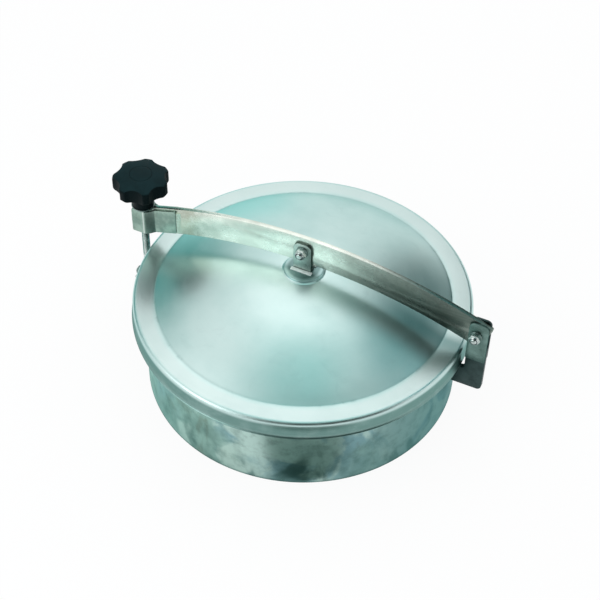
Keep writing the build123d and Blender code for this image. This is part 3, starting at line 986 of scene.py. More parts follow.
class Workshop:
    """Turns and softens meshes, and hangs the finished pieces on their bodies."""

    crease_angle: float = 32.0
    flat_angle: float = 0.6

    def __init__(self, nodes: dict[str, bpy.types.Object]) -> None:
        """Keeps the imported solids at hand.

        Args:
            nodes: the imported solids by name.
        """
        self.nodes = nodes

    @staticmethod
    def outline(bm: Mesh, points: list[tuple[float, float]], closed: bool = True) -> list[Vertex]:
        """Lays a few corners of a turned section, as (radius, height), and joins them.

        Args:
            bm: the mesh in work.
            points: the section's corners.
            closed: whether the last corner joins the first.

        Returns:
            The corners' vertices.
        """
        verts = [bm.verts.new((r, 0.0, z)) for r, z in points]
        for a, b in zip(verts, verts[1:]):
            bm.edges.new((a, b))
        if closed:
            bm.edges.new((verts[-1], verts[0]))
        return verts

    @staticmethod
    def bevel(
        bm: Mesh,
        geom: list[Edge] | list[Vertex],
        width: float,
        segments: int,
        affect: str = "EDGES",
        clamp: bool = False,
    ) -> None:
        """Rounds edges or corners.

        Args:
            bm: the mesh in work.
            geom: the edges or corners.
            width: how far the round reaches.
            segments: the number of steps in the round.
            affect: "EDGES" or "VERTICES".
            clamp: whether rounds stop where they meet.
        """
        bmesh.ops.bevel(
            bm,
            geom=geom,
            offset=width,
            offset_type="OFFSET",
            affect=affect,
            segments=segments,
            profile=0.5,
            clamp_overlap=clamp,
            material=-1,
        )

    @classmethod
    def round_corner(cls, bm: Mesh, corner: Vertex, radius: float, segments: int) -> None:
        """Rounds one corner of a section.

        Args:
            bm: the mesh in work.
            corner: the corner's vertex.
            radius: the round's radius.
            segments: the number of steps in the round.
        """
        ways = [(e.other_vert(corner).co - corner.co).normalized() for e in corner.link_edges]
        turn = math.pi - ways[0].angle(ways[1])
        cls.bevel(bm, [corner], radius * math.tan(turn / 2), segments, "VERTICES")

    @staticmethod
    def arc(bm: Mesh, start: Vertex, centre: Vector, angle: float, steps: int) -> Vertex:
        """Draws an arc of a section from a vertex, turning about +Y.

        Args:
            bm: the mesh in work.
            start: the vertex that the arc starts from.
            centre: the arc's centre.
            angle: the arc's turn in radians.
            steps: the number of steps.

        Returns:
            The arc's last vertex.
        """
        axis = (0.0, 1.0, 0.0)
        result = bmesh.ops.spin(bm, geom=[start], cent=centre, axis=axis, angle=angle, steps=steps)
        return next(item for item in result["geom_last"] if isinstance(item, Vertex))

    @staticmethod
    def turn(bm: Mesh, steps: int) -> None:
        """Turns everything in the mesh once around the Z axis and closes it.

        Args:
            bm: the mesh in work.
            steps: the number of steps in the turn.
        """
        bmesh.ops.spin(
            bm,
            geom=bm.verts[:] + bm.edges[:],
            cent=(0.0, 0.0, 0.0),
            axis=(0.0, 0.0, 1.0),
            angle=math.tau,
            steps=steps,
            use_merge=True,
        )
        bmesh.ops.remove_doubles(bm, verts=bm.verts[:], dist=NEAR)
        bmesh.ops.recalc_face_normals(bm, faces=bm.faces[:])

    @staticmethod
    def lay(bm: Mesh, place: tuple[float, float, float]) -> None:
        """Lays a turned mesh down with its axis along Y and moves its origin to a place.

        Args:
            bm: the mesh in work.
            place: where the origin goes.
        """
        pose = Matrix.Translation(place) @ Matrix.Rotation(math.pi / 2, 4, "X")
        bmesh.ops.transform(bm, matrix=pose, verts=bm.verts[:])

    def piece(
        self,
        bm: Mesh,
        name: str,
        body: str,
        material: bpy.types.Material,
        slot: str,
        stands_for: tuple[str, ...] = (),
        sharp: float = 35.0,
    ) -> bpy.types.Object:
        """Closes a mesh as a finished piece that rides on a body.

        Args:
            bm: the mesh in work; it is freed.
            name: the piece's name.
            body: the body that it rides on.
            material: its finish.
            slot: not used.
            stands_for: the solids that it stands for.
            sharp: the angle in degrees past which an edge stays sharp.

        Returns:
            The piece's object.
        """
        mesh = stored(bm, name)
        mesh.shade_smooth()
        mesh.set_sharp_from_angle(angle=math.radians(sharp))
        mesh.materials.append(material)
        piece = linked(name, mesh)
        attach(piece, body)
        if stands_for:
            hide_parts(*stands_for)
        LOG.info("%s: %d faces on %s", name, len(mesh.polygons), body)
        return piece

    def softened(
        self,
        node: str,
        body: str,
        material: bpy.types.Material,
        slot: str,
        edge: float = 0.0004,
        segments: int = 2,
    ) -> bpy.types.Object:
        """Stands in for a solid with a copy of it whose cut edges are broken.

        Args:
            node: the solid's name.
            body: the body that it rides on.
            material: its finish.
            slot: the record's material slot.
            edge: the width of the broken edge.
            segments: the number of steps across the broken edge.

        Returns:
            The piece's object.
        """
        bm = bmesh.new()
        bm.from_mesh(self.nodes[node].data)
        bmesh.ops.remove_doubles(bm, verts=bm.verts[:], dist=2 * NEAR)
        flat = math.radians(self.flat_angle)
        bmesh.ops.dissolve_limit(bm, angle_limit=flat, verts=bm.verts[:], edges=bm.edges[:])
        crease = math.radians(self.crease_angle)
        cut = [e for e in bm.edges if len(e.link_faces) == 2 and e.calc_face_angle() > crease]
        self.bevel(bm, cut, edge, segments, clamp=True)
        return self.piece(bm, f"{node}_dressed", body, material, slot, (node,))


@dataclass
class WeldBead:
    """A straight weld bead whose ripples swell and narrow between two small tips."""

    start: Vector
    end: Vector
    radius: float
    ripple: float = 0.55
    tip: float = 0.35
    narrow: float = 0.86
    sides: int = 12

    def mesh(self) -> Mesh:
        """Lays the bead ring by ring.

        Returns:
            The bead's mesh.
        """
        run = self.end - self.start
        ripples = max(3, round(run.length / (self.radius * self.ripple)))
        facing = run.to_track_quat("Z", "Y").to_matrix().to_4x4()
        bm = bmesh.new()
        thin = self.radius * self.tip
        ring = bmesh.ops.create_circle(bm, cap_ends=True, segments=self.sides, radius=thin)["verts"]
        bmesh.ops.transform(bm, matrix=Matrix.Translation(self.start) @ facing, verts=ring)
        edges = [e for e in bm.edges if e.is_boundary]
        steps = ripples * 2
        move = run / steps
        centre = self.start.copy()
        size = self.tip
        for step in range(1, steps + 1):
            grown = bmesh.ops.extrude_edge_only(bm, edges=edges)["geom"]
            ring = [g for g in grown if isinstance(g, Vertex)]
            edges = [g for g in grown if isinstance(g, Edge) and g.is_boundary]
            bmesh.ops.translate(bm, vec=move, verts=ring)
            centre += move
            swell = 1.0 if step % 2 else self.narrow
            wanted = self.tip if step == steps else swell
            bmesh.ops.scale(bm, vec=(wanted / size,) * 3, space=Matrix.Translation(-centre), verts=ring)
            size = wanted
        bmesh.ops.holes_fill(bm, edges=edges)
        bmesh.ops.recalc_face_normals(bm, faces=bm.faces[:])
        return bm


# ------------------------------------------------------------------------------ sub-assemblies


@dataclass
class SubAssembly:
    """What every sub-assembly works with, and the beads that weld it to the neck."""

    shop: Workshop
    finishes: FinishRack

    def neck_bead(self, name: str, side: float, y: float, span: tuple[float, float], radius: float) -> None:
        """Runs an upright weld bead on the neck's outside.

        Args:
            name: the piece's name.
            side: 1 for the hinge's side of the neck, -1 for the knob's side.
            y: where the bead stands along Y.
            span: the heights of its lower and upper ends.
            radius: the bead's radius.
        """
        x = side * math.sqrt(Neck.outer**2 - y**2)
        bead = WeldBead(Vector((x, y, span[0])), Vector((x, y, span[1])), radius)
        self.shop.piece(bead.mesh(), name, "neck", self.finishes.weld, "stainless_plate", sharp=70.0)


@dataclass
class Neck(SubAssembly):
    """The rolled neck ring that is welded into the tank roof."""

    inner: float = 0.200
    outer: float = 0.203
    lower_band: float = 0.03
    upper_band: float = 0.07
    rim_round: float = 0.0014
    steps: int = 240

    def build(self) -> None:
        """Builds the neck ring."""
        low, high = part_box("neck_ring")
        outside = [(self.outer, z) for z in (low.z, self.lower_band, self.upper_band, high.z)]
        bm = bmesh.new()
        corners = self.shop.outline(bm, [(self.inner, low.z), *outside, (self.inner, high.z)])
        for corner in corners[-2:]:
            self.shop.round_corner(bm, corner, self.rim_round, segments=4)
        self.shop.turn(bm, self.steps)
        self.shop.piece(bm, "neck_wall", "neck", self.finishes.neck, "stainless_neck", ("neck_ring",))


@dataclass
class Lid(SubAssembly):
    """The pressed lid with its seal, the strip that holds it and the pad for the clevis."""

    sheet: float = 0.002
    top: float = 0.130
    skirt_inner: float = 0.2145
    skirt_low: float = 0.104
    bead: float = 0.002
    bead_shoulder: float = 0.8
    bead_steps: int = 10
    dome_foot: float = 0.189
    dome_rise: float = 0.041
    dome_steps: int = 26
    edge_round: float = 0.005
    crease_round: float = 0.006
    steps: int = 320
    seal_inner: float = 0.1923
    seal_outer: float = 0.2138
    seal_low: float = 0.1073
    seal_lip: float = 0.004
    seal_cut: float = 0.003
    seal_steps: int = 160
    strip_edge: float = 0.0003
    pad_radius: float = 0.025
    pad_edge: float = 0.0008
    pad_sink: float = 0.0002
    pad_steps: int = 96
    weld_reach: float = 0.0028
    weld_rise: float = 0.0018
    weld_root: float = 0.001
    weld_sink: float = 0.0001
    weld_waist: float = 0.22
    weld_waist_rise: float = 0.0006
    weld_round: float = 0.0018

    @property
    def sphere(self) -> float:
        """The dome's outer radius of curvature."""
        return (self.dome_foot**2 + self.dome_rise**2) / (2 * self.dome_rise)

    @property
    def sphere_z(self) -> float:
        """The height of the dome's centre of curvature."""
        return self.top + self.dome_rise - self.sphere

    def dome_height(self, radius: float) -> float:
        """The height of the dome's outer face at a distance from the axis."""
        return self.sphere_z + math.sqrt(self.sphere**2 - radius**2)

    def shell(self) -> None:
        """Turns the pressed sheet: dome, crease, flat rim, rounded edge, skirt and bead."""
        bm = bmesh.new()
        centre = Vector((0.0, 0.0, self.sphere_z))
        inner_sphere = self.sphere - self.sheet
        under = self.top - self.sheet
        skirt_outer = self.skirt_inner + self.sheet
        bead_z = self.skirt_low + self.bead
        over_turn = math.asin(self.dome_foot / self.sphere)
        under_turn = math.acos((under - centre.z) / inner_sphere)
        over_pole = bm.verts.new((0.0, 0.0, self.top + self.dome_rise))
        over_foot = self.shop.arc(bm, over_pole, centre, over_turn, self.dome_steps)
        edge = bm.verts.new((skirt_outer, 0.0, self.top))
        bead_start = bm.verts.new((skirt_outer, 0.0, bead_z + self.bead * self.bead_shoulder))
        bead_centre = Vector((self.skirt_inner + self.bead, 0.0, bead_z))
        bead_first = bm.verts.new((self.skirt_inner + 2 * self.bead, 0.0, bead_z))
        bead_last = self.shop.arc(bm, bead_first, bead_centre, math.pi, self.bead_steps)
        inner_edge = bm.verts.new((self.skirt_inner, 0.0, under))
        under_pole = bm.verts.new((0.0, 0.0, centre.z + inner_sphere))
        under_foot = self.shop.arc(bm, under_pole, centre, under_turn, self.dome_steps)
        for run in ((over_foot, edge, bead_start, bead_first), (bead_last, inner_edge, under_foot)):
            for pair in zip(run, run[1:]):
                bm.edges.new(pair)
        self.shop.round_corner(bm, over_foot, self.crease_round, segments=5)
        self.shop.round_corner(bm, under_foot, self.crease_round + self.sheet, segments=5)
        self.shop.round_corner(bm, edge, self.edge_round, segments=8)
        self.shop.round_corner(bm, inner_edge, self.edge_round - self.sheet, segments=5)
        self.shop.turn(bm, self.steps)
        sheet = self.finishes.lid
        self.shop.piece(bm, "lid_pressing", "lid", sheet, "stainless_lid", ("lid_shell",), sharp=60.0)

    def seal(self) -> None:
        """Turns the rubber seal with its rounded lips."""
        high = self.top - self.sheet
        bm = bmesh.new()
        section = [
            (self.seal_inner, self.seal_low),
            (self.seal_outer, self.seal_low),
            (self.seal_outer, high - self.seal_cut),
            (self.seal_outer - self.seal_cut, high),
            (self.seal_inner, high),
        ]
        corners = self.shop.outline(bm, section)
        for corner in corners[:2]:
            self.shop.round_corner(bm, corner, self.seal_lip, segments=6)
        self.shop.turn(bm, self.seal_steps)
        self.shop.piece(bm, "seal_ring", "lid", self.finishes.rubber, "silicone_seal", ("lid_seal",))

    def pad(self) -> None:
        """Turns the pad with a broken edge."""
        _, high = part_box("lid_pad")
        foot = self.dome_height(self.pad_radius) - self.pad_sink
        bm = bmesh.new()
        section = [(0.0, foot), (self.pad_radius, foot), (self.pad_radius, high.z), (0.0, high.z)]
        corners = self.shop.outline(bm, section, closed=False)
        self.shop.round_corner(bm, corners[2], self.pad_edge, segments=3)
        self.shop.turn(bm, self.pad_steps)
        self.shop.piece(bm, "lid_pad_dressed", "lid", self.finishes.pad, "stainless_lid", ("lid_pad",))

    def pad_weld(self) -> None:
        """Turns the smoothed weld around the pad's foot."""
        foot = self.dome_height(self.pad_radius)
        reach = self.pad_radius + self.weld_reach
        root = self.pad_radius - self.weld_root
        waist = self.pad_radius + self.weld_reach * self.weld_waist
        bm = bmesh.new()
        section = [
            (root, foot - self.weld_root),
            (reach, self.dome_height(reach) - self.weld_sink),
            (waist, foot + self.weld_waist_rise),
            (root, foot + self.weld_rise),
        ]
        corners = self.shop.outline(bm, section)
        self.shop.round_corner(bm, corners[2], self.weld_round, segments=6)
        self.shop.turn(bm, self.pad_steps)
        self.shop.piece(bm, "pad_weld", "lid", self.finishes.lid, "stainless_lid", sharp=60.0)

    def build(self) -> None:
        """Builds the lid's pieces."""
        self.shell()
        self.seal()
        self.pad()
        self.pad_weld()
        self.shop.softened("seal_strip", "lid", self.finishes.lid, "stainless_lid", self.strip_edge)


@dataclass
class Arm(SubAssembly):
    """The arched flat bar with its forked end."""

    bar_edge: float = 0.0005
    strip_edge: float = 0.0003
    weld_run: float = 0.0065
    weld_height: float = 0.033
    weld_thick: float = 0.00285
    weld_lap: float = 0.0004
    weld_sink: float = 0.0002
    weld_drop: float = 0.002
    weld_round: float = 0.0016

    def build(self) -> None:
        """Builds the bar, the fork's two strips and the welds that lap them on."""
        self.shop.softened("arm_bar", "arm", self.finishes.bar, "stainless_bar", self.bar_edge, segments=3)
        for name, _ in SIDES:
            strip = f"fork_cheek_{name}"
            self.shop.softened(strip, "arm", self.finishes.fork, "stainless_bar", self.strip_edge)
        for name, side in SIDES:
            self.ground_weld(f"fork_cheek_{name}", side)

    def ground_weld(self, node: str, side: float) -> None:
        """Fills the step at the end of one fork strip with a weld that is ground to a slope.

        Args:
            node: the strip's name.
            side: -1 for the front strip, 1 for the rear one.
        """
        _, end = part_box(node)
        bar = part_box("arm_bar")[1].y
        start, top = end.x - self.weld_lap, end.z - self.weld_drop
        crest, sunk = side * (bar + self.weld_thick), side * (bar - self.weld_sink)
        corners = [(start, crest), (end.x + self.weld_run, sunk), (start, sunk)]
        bm = bmesh.new()
        section = bm.faces.new([bm.verts.new((x, y, top)) for x, y in corners])
        drop = bmesh.ops.extrude_face_region(bm, geom=[section])["geom"]
        lower = [item for item in drop if isinstance(item, Vertex)]
        bmesh.ops.translate(bm, vec=(0.0, 0.0, -self.weld_height), verts=lower)
        ridge = [e for e in bm.edges if all(abs(v.co.y - crest) < NEAR for v in e.verts)]
        self.shop.bevel(bm, ridge, self.weld_round, segments=4)
        bmesh.ops.recalc_face_normals(bm, faces=bm.faces[:])
        self.shop.piece(bm, f"{node}_weld", "arm", self.finishes.bar, "stainless_bar", sharp=50.0)


@dataclass
class Hinge(SubAssembly):
    """The L bracket on the neck with its two cheeks and their bolt."""

    bead_y: float = 0.0036
    bead_radius: float = 0.0018
    bead_foot: float = 0.001
    bead_top: float = 0.028

    def build(self) -> None:
        """Builds the bracket, the cheeks, the fasteners and the welds."""
        plates = (
            # The bracket and the rear cheek take the plate in painted shade.
            ("hinge_bracket", self.finishes.dark_plate),
            ("hinge_cheek_front", self.finishes.cheek),
            ("hinge_cheek_rear", self.finishes.dark_plate),
        )
        for node, finish in plates:
            self.shop.softened(node, "neck", finish, "stainless_plate")
        Fasteners(self.shop, self.finishes, "hinge", "neck").build()
        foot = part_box("hinge_bracket")[0].z
        span = (foot + self.bead_foot, foot + self.bead_top)
        for name, side in SIDES:
            self.neck_bead(f"bracket_weld_{name}", 1.0, side * self.bead_y, span, self.bead_radius)


@dataclass
class Fasteners(SubAssembly):
    """One cross bolt with its lock nut, nylon ring and two washers."""

    name: str
    body: str
    shank: float = 0.004
    ring_width: float = 0.0011
    ring_gap: float = 0.0001
    ring_foot: float = -0.0005
    ring_top: float = 0.00015
    ring_steps: int = 40
    broken_edge: float = 0.0002

    def build(self) -> None:
        """Builds the fasteners and the nut's nylon ring."""
        metal, stamped = self.finishes.fastener, self.finishes.washer
        for kind, finish in (("bolt", metal), ("nut", metal), ("washers", stamped)):
            node = f"{self.name}_{kind}"
            self.shop.softened(node, self.body, finish, "stainless_fastener", self.broken_edge)
        low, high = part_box(f"{self.name}_nut")
        middle = (low + high) / 2
        inner, outer = self.shank + self.ring_gap, self.shank + self.ring_width
        bm = bmesh.new()
        lower = [(inner, self.ring_foot), (outer, self.ring_foot)]
        upper = [(outer, self.ring_top), (inner, self.ring_top)]
        self.shop.outline(bm, lower + upper)
        self.shop.turn(bm, self.ring_steps)
        self.shop.lay(bm, (middle.x, low.y, middle.z))
        self.shop.piece(bm, f"{self.name}_nut_nylon", self.body, self.finishes.nylon, "knob_plastic")


@dataclass
class LidClevis(SubAssembly):
    """The bent strap on the pad that carries the lid under the bar."""

    weld_reach: float = 0.0042
    weld_rise: float = 0.0020
    weld_spread: float = 0.0006
    weld_lap: float = 0.0003
    weld_sink: float = 0.0001
    weld_round: float = 0.0009

    def build(self) -> None:
        """Builds the strap, its fasteners and the weld on the pad."""
        self.shop.softened("lid_clevis", "lid", self.finishes.clevis, "stainless_plate")
        Fasteners(self.shop, self.finishes, "clevis", "lid").build()
        low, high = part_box("lid_clevis")
        size = (high.x - low.x + self.weld_reach, self.weld_reach + self.weld_spread, self.weld_rise)
        for name, side in SIDES:
            y = side * (high.y + self.weld_reach / 2 - self.weld_lap)
            place = Vector((0.0, y, low.z + self.weld_rise / 2 - self.weld_sink))
            bm = bmesh.new()
            bmesh.ops.create_cube(bm, size=1.0)
            bmesh.ops.scale(bm, vec=size, verts=bm.verts[:])
            bmesh.ops.translate(bm, vec=place, verts=bm.verts[:])
            upper = [e for e in bm.edges if all(v.co.z > place.z for v in e.verts)]
            self.shop.bevel(bm, upper, self.weld_round, segments=4)
            # The weld's finish paints the highlight along the foot of the strap.
            weld = f"clevis_weld_{name}"
            self.shop.piece(bm, weld, "lid", self.finishes.ground, "stainless_plate", sharp=60.0)


@dataclass
class EyeBolt(SubAssembly):
    """The swing bolt: an eye with rolled shoulders, a plain neck and a cut thread."""

    x: float = -0.2285
    shank_root: float = 0.8
    eye_outer: float = 0.010
    eye_inner: float = 0.00508
    eye_steps: int = 64
    shoulder_round: float = 0.003
    hole_round: float = 0.0006
    stud: float = 0.005
    stud_steps: int = 40
    root: float = 0.00415
    flare: float = 0.0004
    flare_foot: float = 0.001
    flare_top: float = 0.006
    slack: float = 0.00005
    run_out: float = 0.0008
    tip_height: float = 0.0004
    tip_cut: float = 0.0006
    thread_start: float = 0.1
    thread_lead: float = 0.0006
    thread_end: float = 0.003
    thread_sink: float = 0.0002
    thread_slack: float = 0.00002
    thread_width: float = 0.8
    thread_steps: int = 20
    pitch: float = 0.0015

    def eye(self, half_width: float, height: float) -> Mesh:
        """Turns the eye with its rolled shoulders.

        Args:
            half_width: half of the eye's width.
            height: the height of its axis.

        Returns:
            The eye's mesh.
        """
        bm = bmesh.new()
        near = [(self.eye_inner, -half_width), (self.eye_outer, -half_width)]
        far = [(self.eye_outer, half_width), (self.eye_inner, half_width)]
        corners = self.shop.outline(bm, near + far)
        for corner in corners[1:3]:
            self.shop.round_corner(bm, corner, self.shoulder_round, segments=6)
        for corner in (corners[0], corners[3]):
            self.shop.round_corner(bm, corner, self.hole_round, segments=2)
        self.shop.turn(bm, self.eye_steps)
        self.shop.lay(bm, (0.0, 0.0, height))
        return bm

    def shank(self, start: float, top: float) -> Mesh:
        """Turns the shank: a flare out of the eye, the plain neck and the thread's core.

        Args:
            start: the height at which it leaves the eye.
            top: the height of its tip.

        Returns:
            The shank's mesh.
        """
        plain = self.stud - self.slack
        bm = bmesh.new()
        section = [
            (0.0, start - self.flare_foot),
            (self.stud + self.flare, start - self.flare_foot),
            (plain, start + self.flare_top),
            (plain, self.thread_start),
            (self.root, self.thread_start + self.run_out),
            (self.root, top - self.tip_height),
            (self.root - self.tip_cut, top),
            (0.0, top),
        ]
        self.shop.outline(bm, section, closed=False)
        self.shop.turn(bm, self.stud_steps)
        return bm

    def thread(self, top: float) -> Mesh:
        """Winds the thread's ridge around the core.

        Args:
            top: the height of the shank's tip.

        Returns:
            The thread's mesh.
        """
        turns = math.floor((top - self.thread_start - self.thread_end) / self.pitch)
        foot = self.thread_start + self.thread_lead
        sunk = self.root - self.thread_sink
        crest = (self.stud - self.thread_slack, foot + self.pitch * self.thread_width / 2)
        bm = bmesh.new()
        self.shop.outline(bm, [(sunk, foot), crest, (sunk, foot + self.pitch * self.thread_width)])
        bmesh.ops.spin(
            bm,
            geom=bm.verts[:] + bm.edges[:],
            cent=(0.0, 0.0, 0.0),
            axis=(0.0, 0.0, 1.0),
            dvec=(0.0, 0.0, self.pitch / self.thread_steps),
            angle=math.tau * turns,
            steps=self.thread_steps * turns,
        )
        bmesh.ops.holes_fill(bm, edges=[e for e in bm.edges if e.is_boundary])
        bmesh.ops.recalc_face_normals(bm, faces=bm.faces[:])
        return bm

    def build(self) -> None:
        """Builds the eye bolt as one piece."""
        low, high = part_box("eye_bolt")
        axis_z = low.z + self.eye_outer
        bm = self.eye((high.y - low.y) / 2, axis_z)
        start = axis_z + self.eye_outer * self.shank_root
        for extra in (self.shank(start, high.z), self.thread(high.z)):
            mesh = stored(extra, "turned")
            bm.from_mesh(mesh)
            bpy.data.meshes.remove(mesh)
        bmesh.ops.translate(bm, vec=(self.x, 0.0, 0.0), verts=bm.verts[:])
        metal, slot = self.finishes.fastener, "stainless_fastener"
        self.shop.piece(bm, "eye_bolt_turned", "eye_bolt", metal, slot, ("eye_bolt",), sharp=40.0)


@dataclass
class Closure(SubAssembly):
    """The lug on the neck, the eye bolt that swings on it, and the knob's washer and insert."""

    bolt_radius: float = 0.005
    ring_width: float = 0.0014
    washer_edge: float = 0.0003
    insert_edge: float = 0.0002
    bead_gap: float = 0.0002
    bead_inset: float = 0.001
    bead_radius: float = 0.002

    def build(self) -> None:
        """Builds the closure's pieces."""
        shop, finishes = self.shop, self.finishes
        for name, _ in SIDES:
            shop.softened(f"lug_plate_{name}", "neck", finishes.plate, "stainless_plate")
        Fasteners(shop, finishes, "lug", "neck", self.bolt_radius, self.ring_width).build()
        EyeBolt(shop, finishes).build()
        shop.softened("knob_washer", "knob_washer", finishes.washer, "stainless_fastener", self.washer_edge)
        shop.softened("knob_insert", "knob", finishes.fastener, "stainless_fastener", self.insert_edge)
        for name, side in SIDES:
            low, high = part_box(f"lug_plate_{name}")
            y = low.y - self.bead_gap if side < 0 else high.y + self.bead_gap
            span = (low.z + self.bead_inset, high.z - self.bead_inset)
            self.neck_bead(f"lug_plate_{name}_weld", -1.0, y, span, self.bead_radius)


@dataclass
class StarKnob(SubAssembly):
    """The moulded star knob: a lobed, crowned head on a hub, with a cap in its top."""

    body_edge: float = 0.0012
    cap_edge: float = 0.0003

    def build(self) -> None:
        """Dresses the knob's two moulded pieces."""
        plastic = self.finishes.knob
        self.shop.softened("knob_body", "knob", plastic, "knob_plastic", self.body_edge, segments=3)
        self.shop.softened("knob_cap", "knob", plastic, "knob_plastic", self.cap_edge)


# ------------------------------------------------------------------------------ studio


@dataclass(frozen=True)
class Spot:
    """Where something stands: its bearing from -Y towards +X and its height, both in degrees."""

    azimuth: float
    elevation: float
    distance: float

    @property
    def way(self) -> Vector:
        """The direction towards it, one metre long."""
        a, e = math.radians(self.azimuth), math.radians(self.elevation)
        return Vector((math.sin(a) * math.cos(e), -math.cos(a) * math.cos(e), math.sin(e)))

    @property
    def offset(self) -> Vector:
        """The way to it, at its full length."""
        return self.way * self.distance


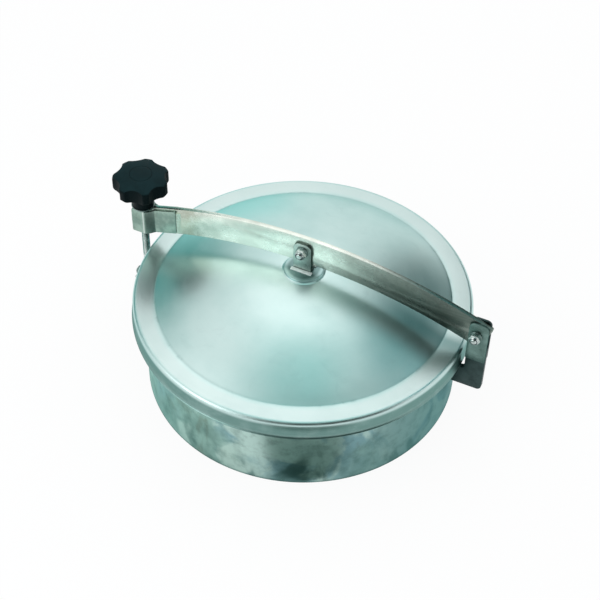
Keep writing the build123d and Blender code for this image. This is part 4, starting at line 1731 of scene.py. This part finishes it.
@dataclass
class Studio:
    """A pale floor, a white surround, soft lamps and tinted cards that the steel mirrors."""

    floor_size: float = 8.0
    floor_tone: Colour = (0.88, 0.89, 0.89)
    floor_white: float = 0.92
    fill: float = 0.95
    fill_tone: Colour = (0.95, 0.98, 1.0)
    aim: tuple[float, float, float] = (0.0, 0.0, 0.12)
    mat_rise: float = 0.0015

    def floor(self) -> None:
        """Lays the floor; it shows white to the camera and keeps the shadow."""
        bm = bmesh.new()
        bmesh.ops.create_grid(bm, x_segments=2, y_segments=2, size=self.floor_size / 2)
        mesh = stored(bm, "floor")
        bench = NodeBench(bpy.data.materials.new("pale_floor"))
        paper = bench.add("BsdfDiffuse", {"Color": self.floor_tone}).outputs[0]
        glow = bench.add("Emission", {"Strength": 1.0}).outputs[0]
        bench.shared(bench.math("MULTIPLY", bench.seen(), self.floor_white), paper, glow)
        mesh.materials.append(bench.owner)
        floor = linked("floor", mesh)

    def surround(self) -> None:
        """Sets a white surround for what is seen and mirrored, and a plain fill for the rest."""
        world = bpy.data.worlds.new("surround")
        bpy.context.scene.world = world
        bench = NodeBench(world, "World")
        white = bench.add("Background", {"Color": WHITE}).outputs[0]
        plain = bench.add("Background", {"Color": self.fill_tone, "Strength": self.fill}).outputs[0]
        bench.shared(bench.seen("Is Transmission Ray"), plain, white)

    def aimed(self, spot: Spot) -> Matrix:
        """A pose whose -Z looks at the lid.

        Args:
            spot: where it stands, seen from the lid.

        Returns:
            The pose.
        """
        target = Vector(self.aim)
        place = spot.offset + target
        return Matrix.Translation(place) @ (target - place).to_track_quat("-Z", "Y").to_matrix().to_4x4()

    def lamp(self, name: str, spot: Spot, size: float, power: float) -> None:
        """Hangs one soft lamp.

        Args:
            name: the lamp's name.
            spot: where it hangs, seen from the lid.
            size: the side of its square.
            power: its power in watts.
        """
        light = bpy.data.lights.new(name, "AREA")
        light.shape = "SQUARE"
        light.size = size
        light.energy = power
        linked(name, light).matrix_world = self.aimed(spot)

    def card(self, name: str, spot: Spot, size: tuple[float, float], tone: Colour) -> None:
        """Stands one tinted card that only the steel mirrors.

        Args:
            name: the card's name.
            spot: where it stands, seen from the lid.
            size: its width and height.
            tone: its colour.
        """
        bm = bmesh.new()
        bmesh.ops.create_grid(bm, x_segments=1, y_segments=1, size=0.5)
        bmesh.ops.scale(bm, vec=(*size, 1.0), verts=bm.verts[:])
        bmesh.ops.transform(bm, matrix=self.aimed(spot), verts=bm.verts[:])
        self.mirrored(bm, name, tone)

    def mat(self, name: str, spot: Spot, radius: float, tone: Colour) -> None:
        """Lays one round mat on the floor that only the steel mirrors.

        Args:
            name: the mat's name.
            spot: where its middle lies, seen from the foot of the neck's axis.
            radius: its radius.
            tone: its colour.
        """
        bm = bmesh.new()
        bmesh.ops.create_circle(bm, cap_ends=True, segments=48, radius=radius)
        bmesh.ops.translate(bm, vec=spot.offset + Vector((0.0, 0.0, self.mat_rise)), verts=bm.verts[:])
        self.mirrored(bm, name, tone)

    @staticmethod
    def mirrored(bm: Mesh, name: str, tone: Colour) -> None:
        """Closes a mesh as a plain card that shows only in the steel.

        Args:
            bm: the mesh in work; it is freed.
            name: the card's name.
            tone: its colour.
        """
        mesh = stored(bm, name)
        bench = NodeBench(bpy.data.materials.new(name))
        bench.close(bench.add("Emission", {"Color": tone}).outputs[0])
        mesh.materials.append(bench.owner)
        card = linked(name, mesh)
        card.visible_camera = False
        card.visible_diffuse = False
        card.visible_shadow = False
        card.visible_transmission = False

    def build(self) -> None:
        """Sets the whole studio."""
        bpy.context.scene.view_settings.view_transform = "Standard"
        self.floor()
        self.surround()
        self.lamp("key_lamp", Spot(200.0, 60.0, 1.7), size=1.2, power=1.9)
        self.lamp("side_lamp", Spot(-32.0, 36.0, 1.8), size=1.3, power=6.5)
        self.card("left_card", Spot(252.0, 22.0, 1.6), size=(1.5, 0.85), tone=(0.03, 0.28, 0.26))
        self.card("front_card", Spot(33.0, 42.0, 1.6), size=(2.7, 1.7), tone=(0.010, 0.022, 0.018))
        self.card("top_card", Spot(24.0, 86.0, 1.5), size=(0.8, 0.8), tone=(0.36, 0.72, 0.70))
        self.card("right_card", Spot(134.0, 54.0, 1.6), size=(0.9, 0.7), tone=(0.08, 0.34, 0.36))
        self.card("corner_card", Spot(159.0, 32.0, 1.6), size=(0.9, 1.0), tone=(0.015, 0.07, 0.07))
        self.card("back_card", Spot(222.0, 4.0, 1.7), size=(0.9, 0.5), tone=(0.46, 0.90, 0.88))
        self.mat("front_mat", Spot(27.0, 0.0, 0.31), radius=0.105, tone=(0.17, 0.24, 0.225))


@dataclass
class Camera:
    """The view of the finished picture."""

    spot: Spot = Spot(24.0, 46.03, 1.7907)
    roll: float = 1.44
    lens: float = 84.0
    sensor: float = 36.0
    clip_end: float = 50.0
    target: tuple[float, float, float] = (-0.0035, -0.0016, 0.1149)

    def build(self) -> None:
        """Makes the camera and sets it as the scene's."""
        data = bpy.data.cameras.new("camera")
        data.lens = self.lens
        data.sensor_width = self.sensor
        data.clip_end = self.clip_end
        camera = linked("camera", data)
        back = self.spot.way
        a, r = math.radians(self.spot.azimuth), math.radians(self.roll)
        right = Vector((math.cos(a), math.sin(a), 0.0))
        up = back.cross(right)
        x_axis = right * math.cos(r) + up * math.sin(r)
        y_axis = up * math.cos(r) - right * math.sin(r)
        turn = Matrix((x_axis, y_axis, back)).transposed().to_4x4()
        camera.matrix_world = Matrix.Translation(Vector(self.target) + self.spot.offset) @ turn
        bpy.context.scene.camera = camera


# ------------------------------------------------------------------------------ assembly


@dataclass
class ManwayCover:
    """The whole cover, from its neck to its knob."""

    shop: Workshop = field(default_factory=lambda: Workshop(frame["nodes"]))
    finishes: FinishRack = field(default_factory=FinishRack)

    def build(self) -> None:
        """Builds each sub-assembly in the order in which the real one goes together."""
        for part in (Neck, Lid, Arm, Hinge, LidClevis, Closure, StarKnob):
            LOG.info("building %s", part.__name__)
            part(self.shop, self.finishes).build()


def main() -> None:
    """Builds the studio, the camera and the cover."""
    logging.basicConfig(level=logging.INFO, format="%(name)s %(message)s")
    Studio().build()
    Camera().build()
    ManwayCover().build()


if __name__ == "__main__":
    main()
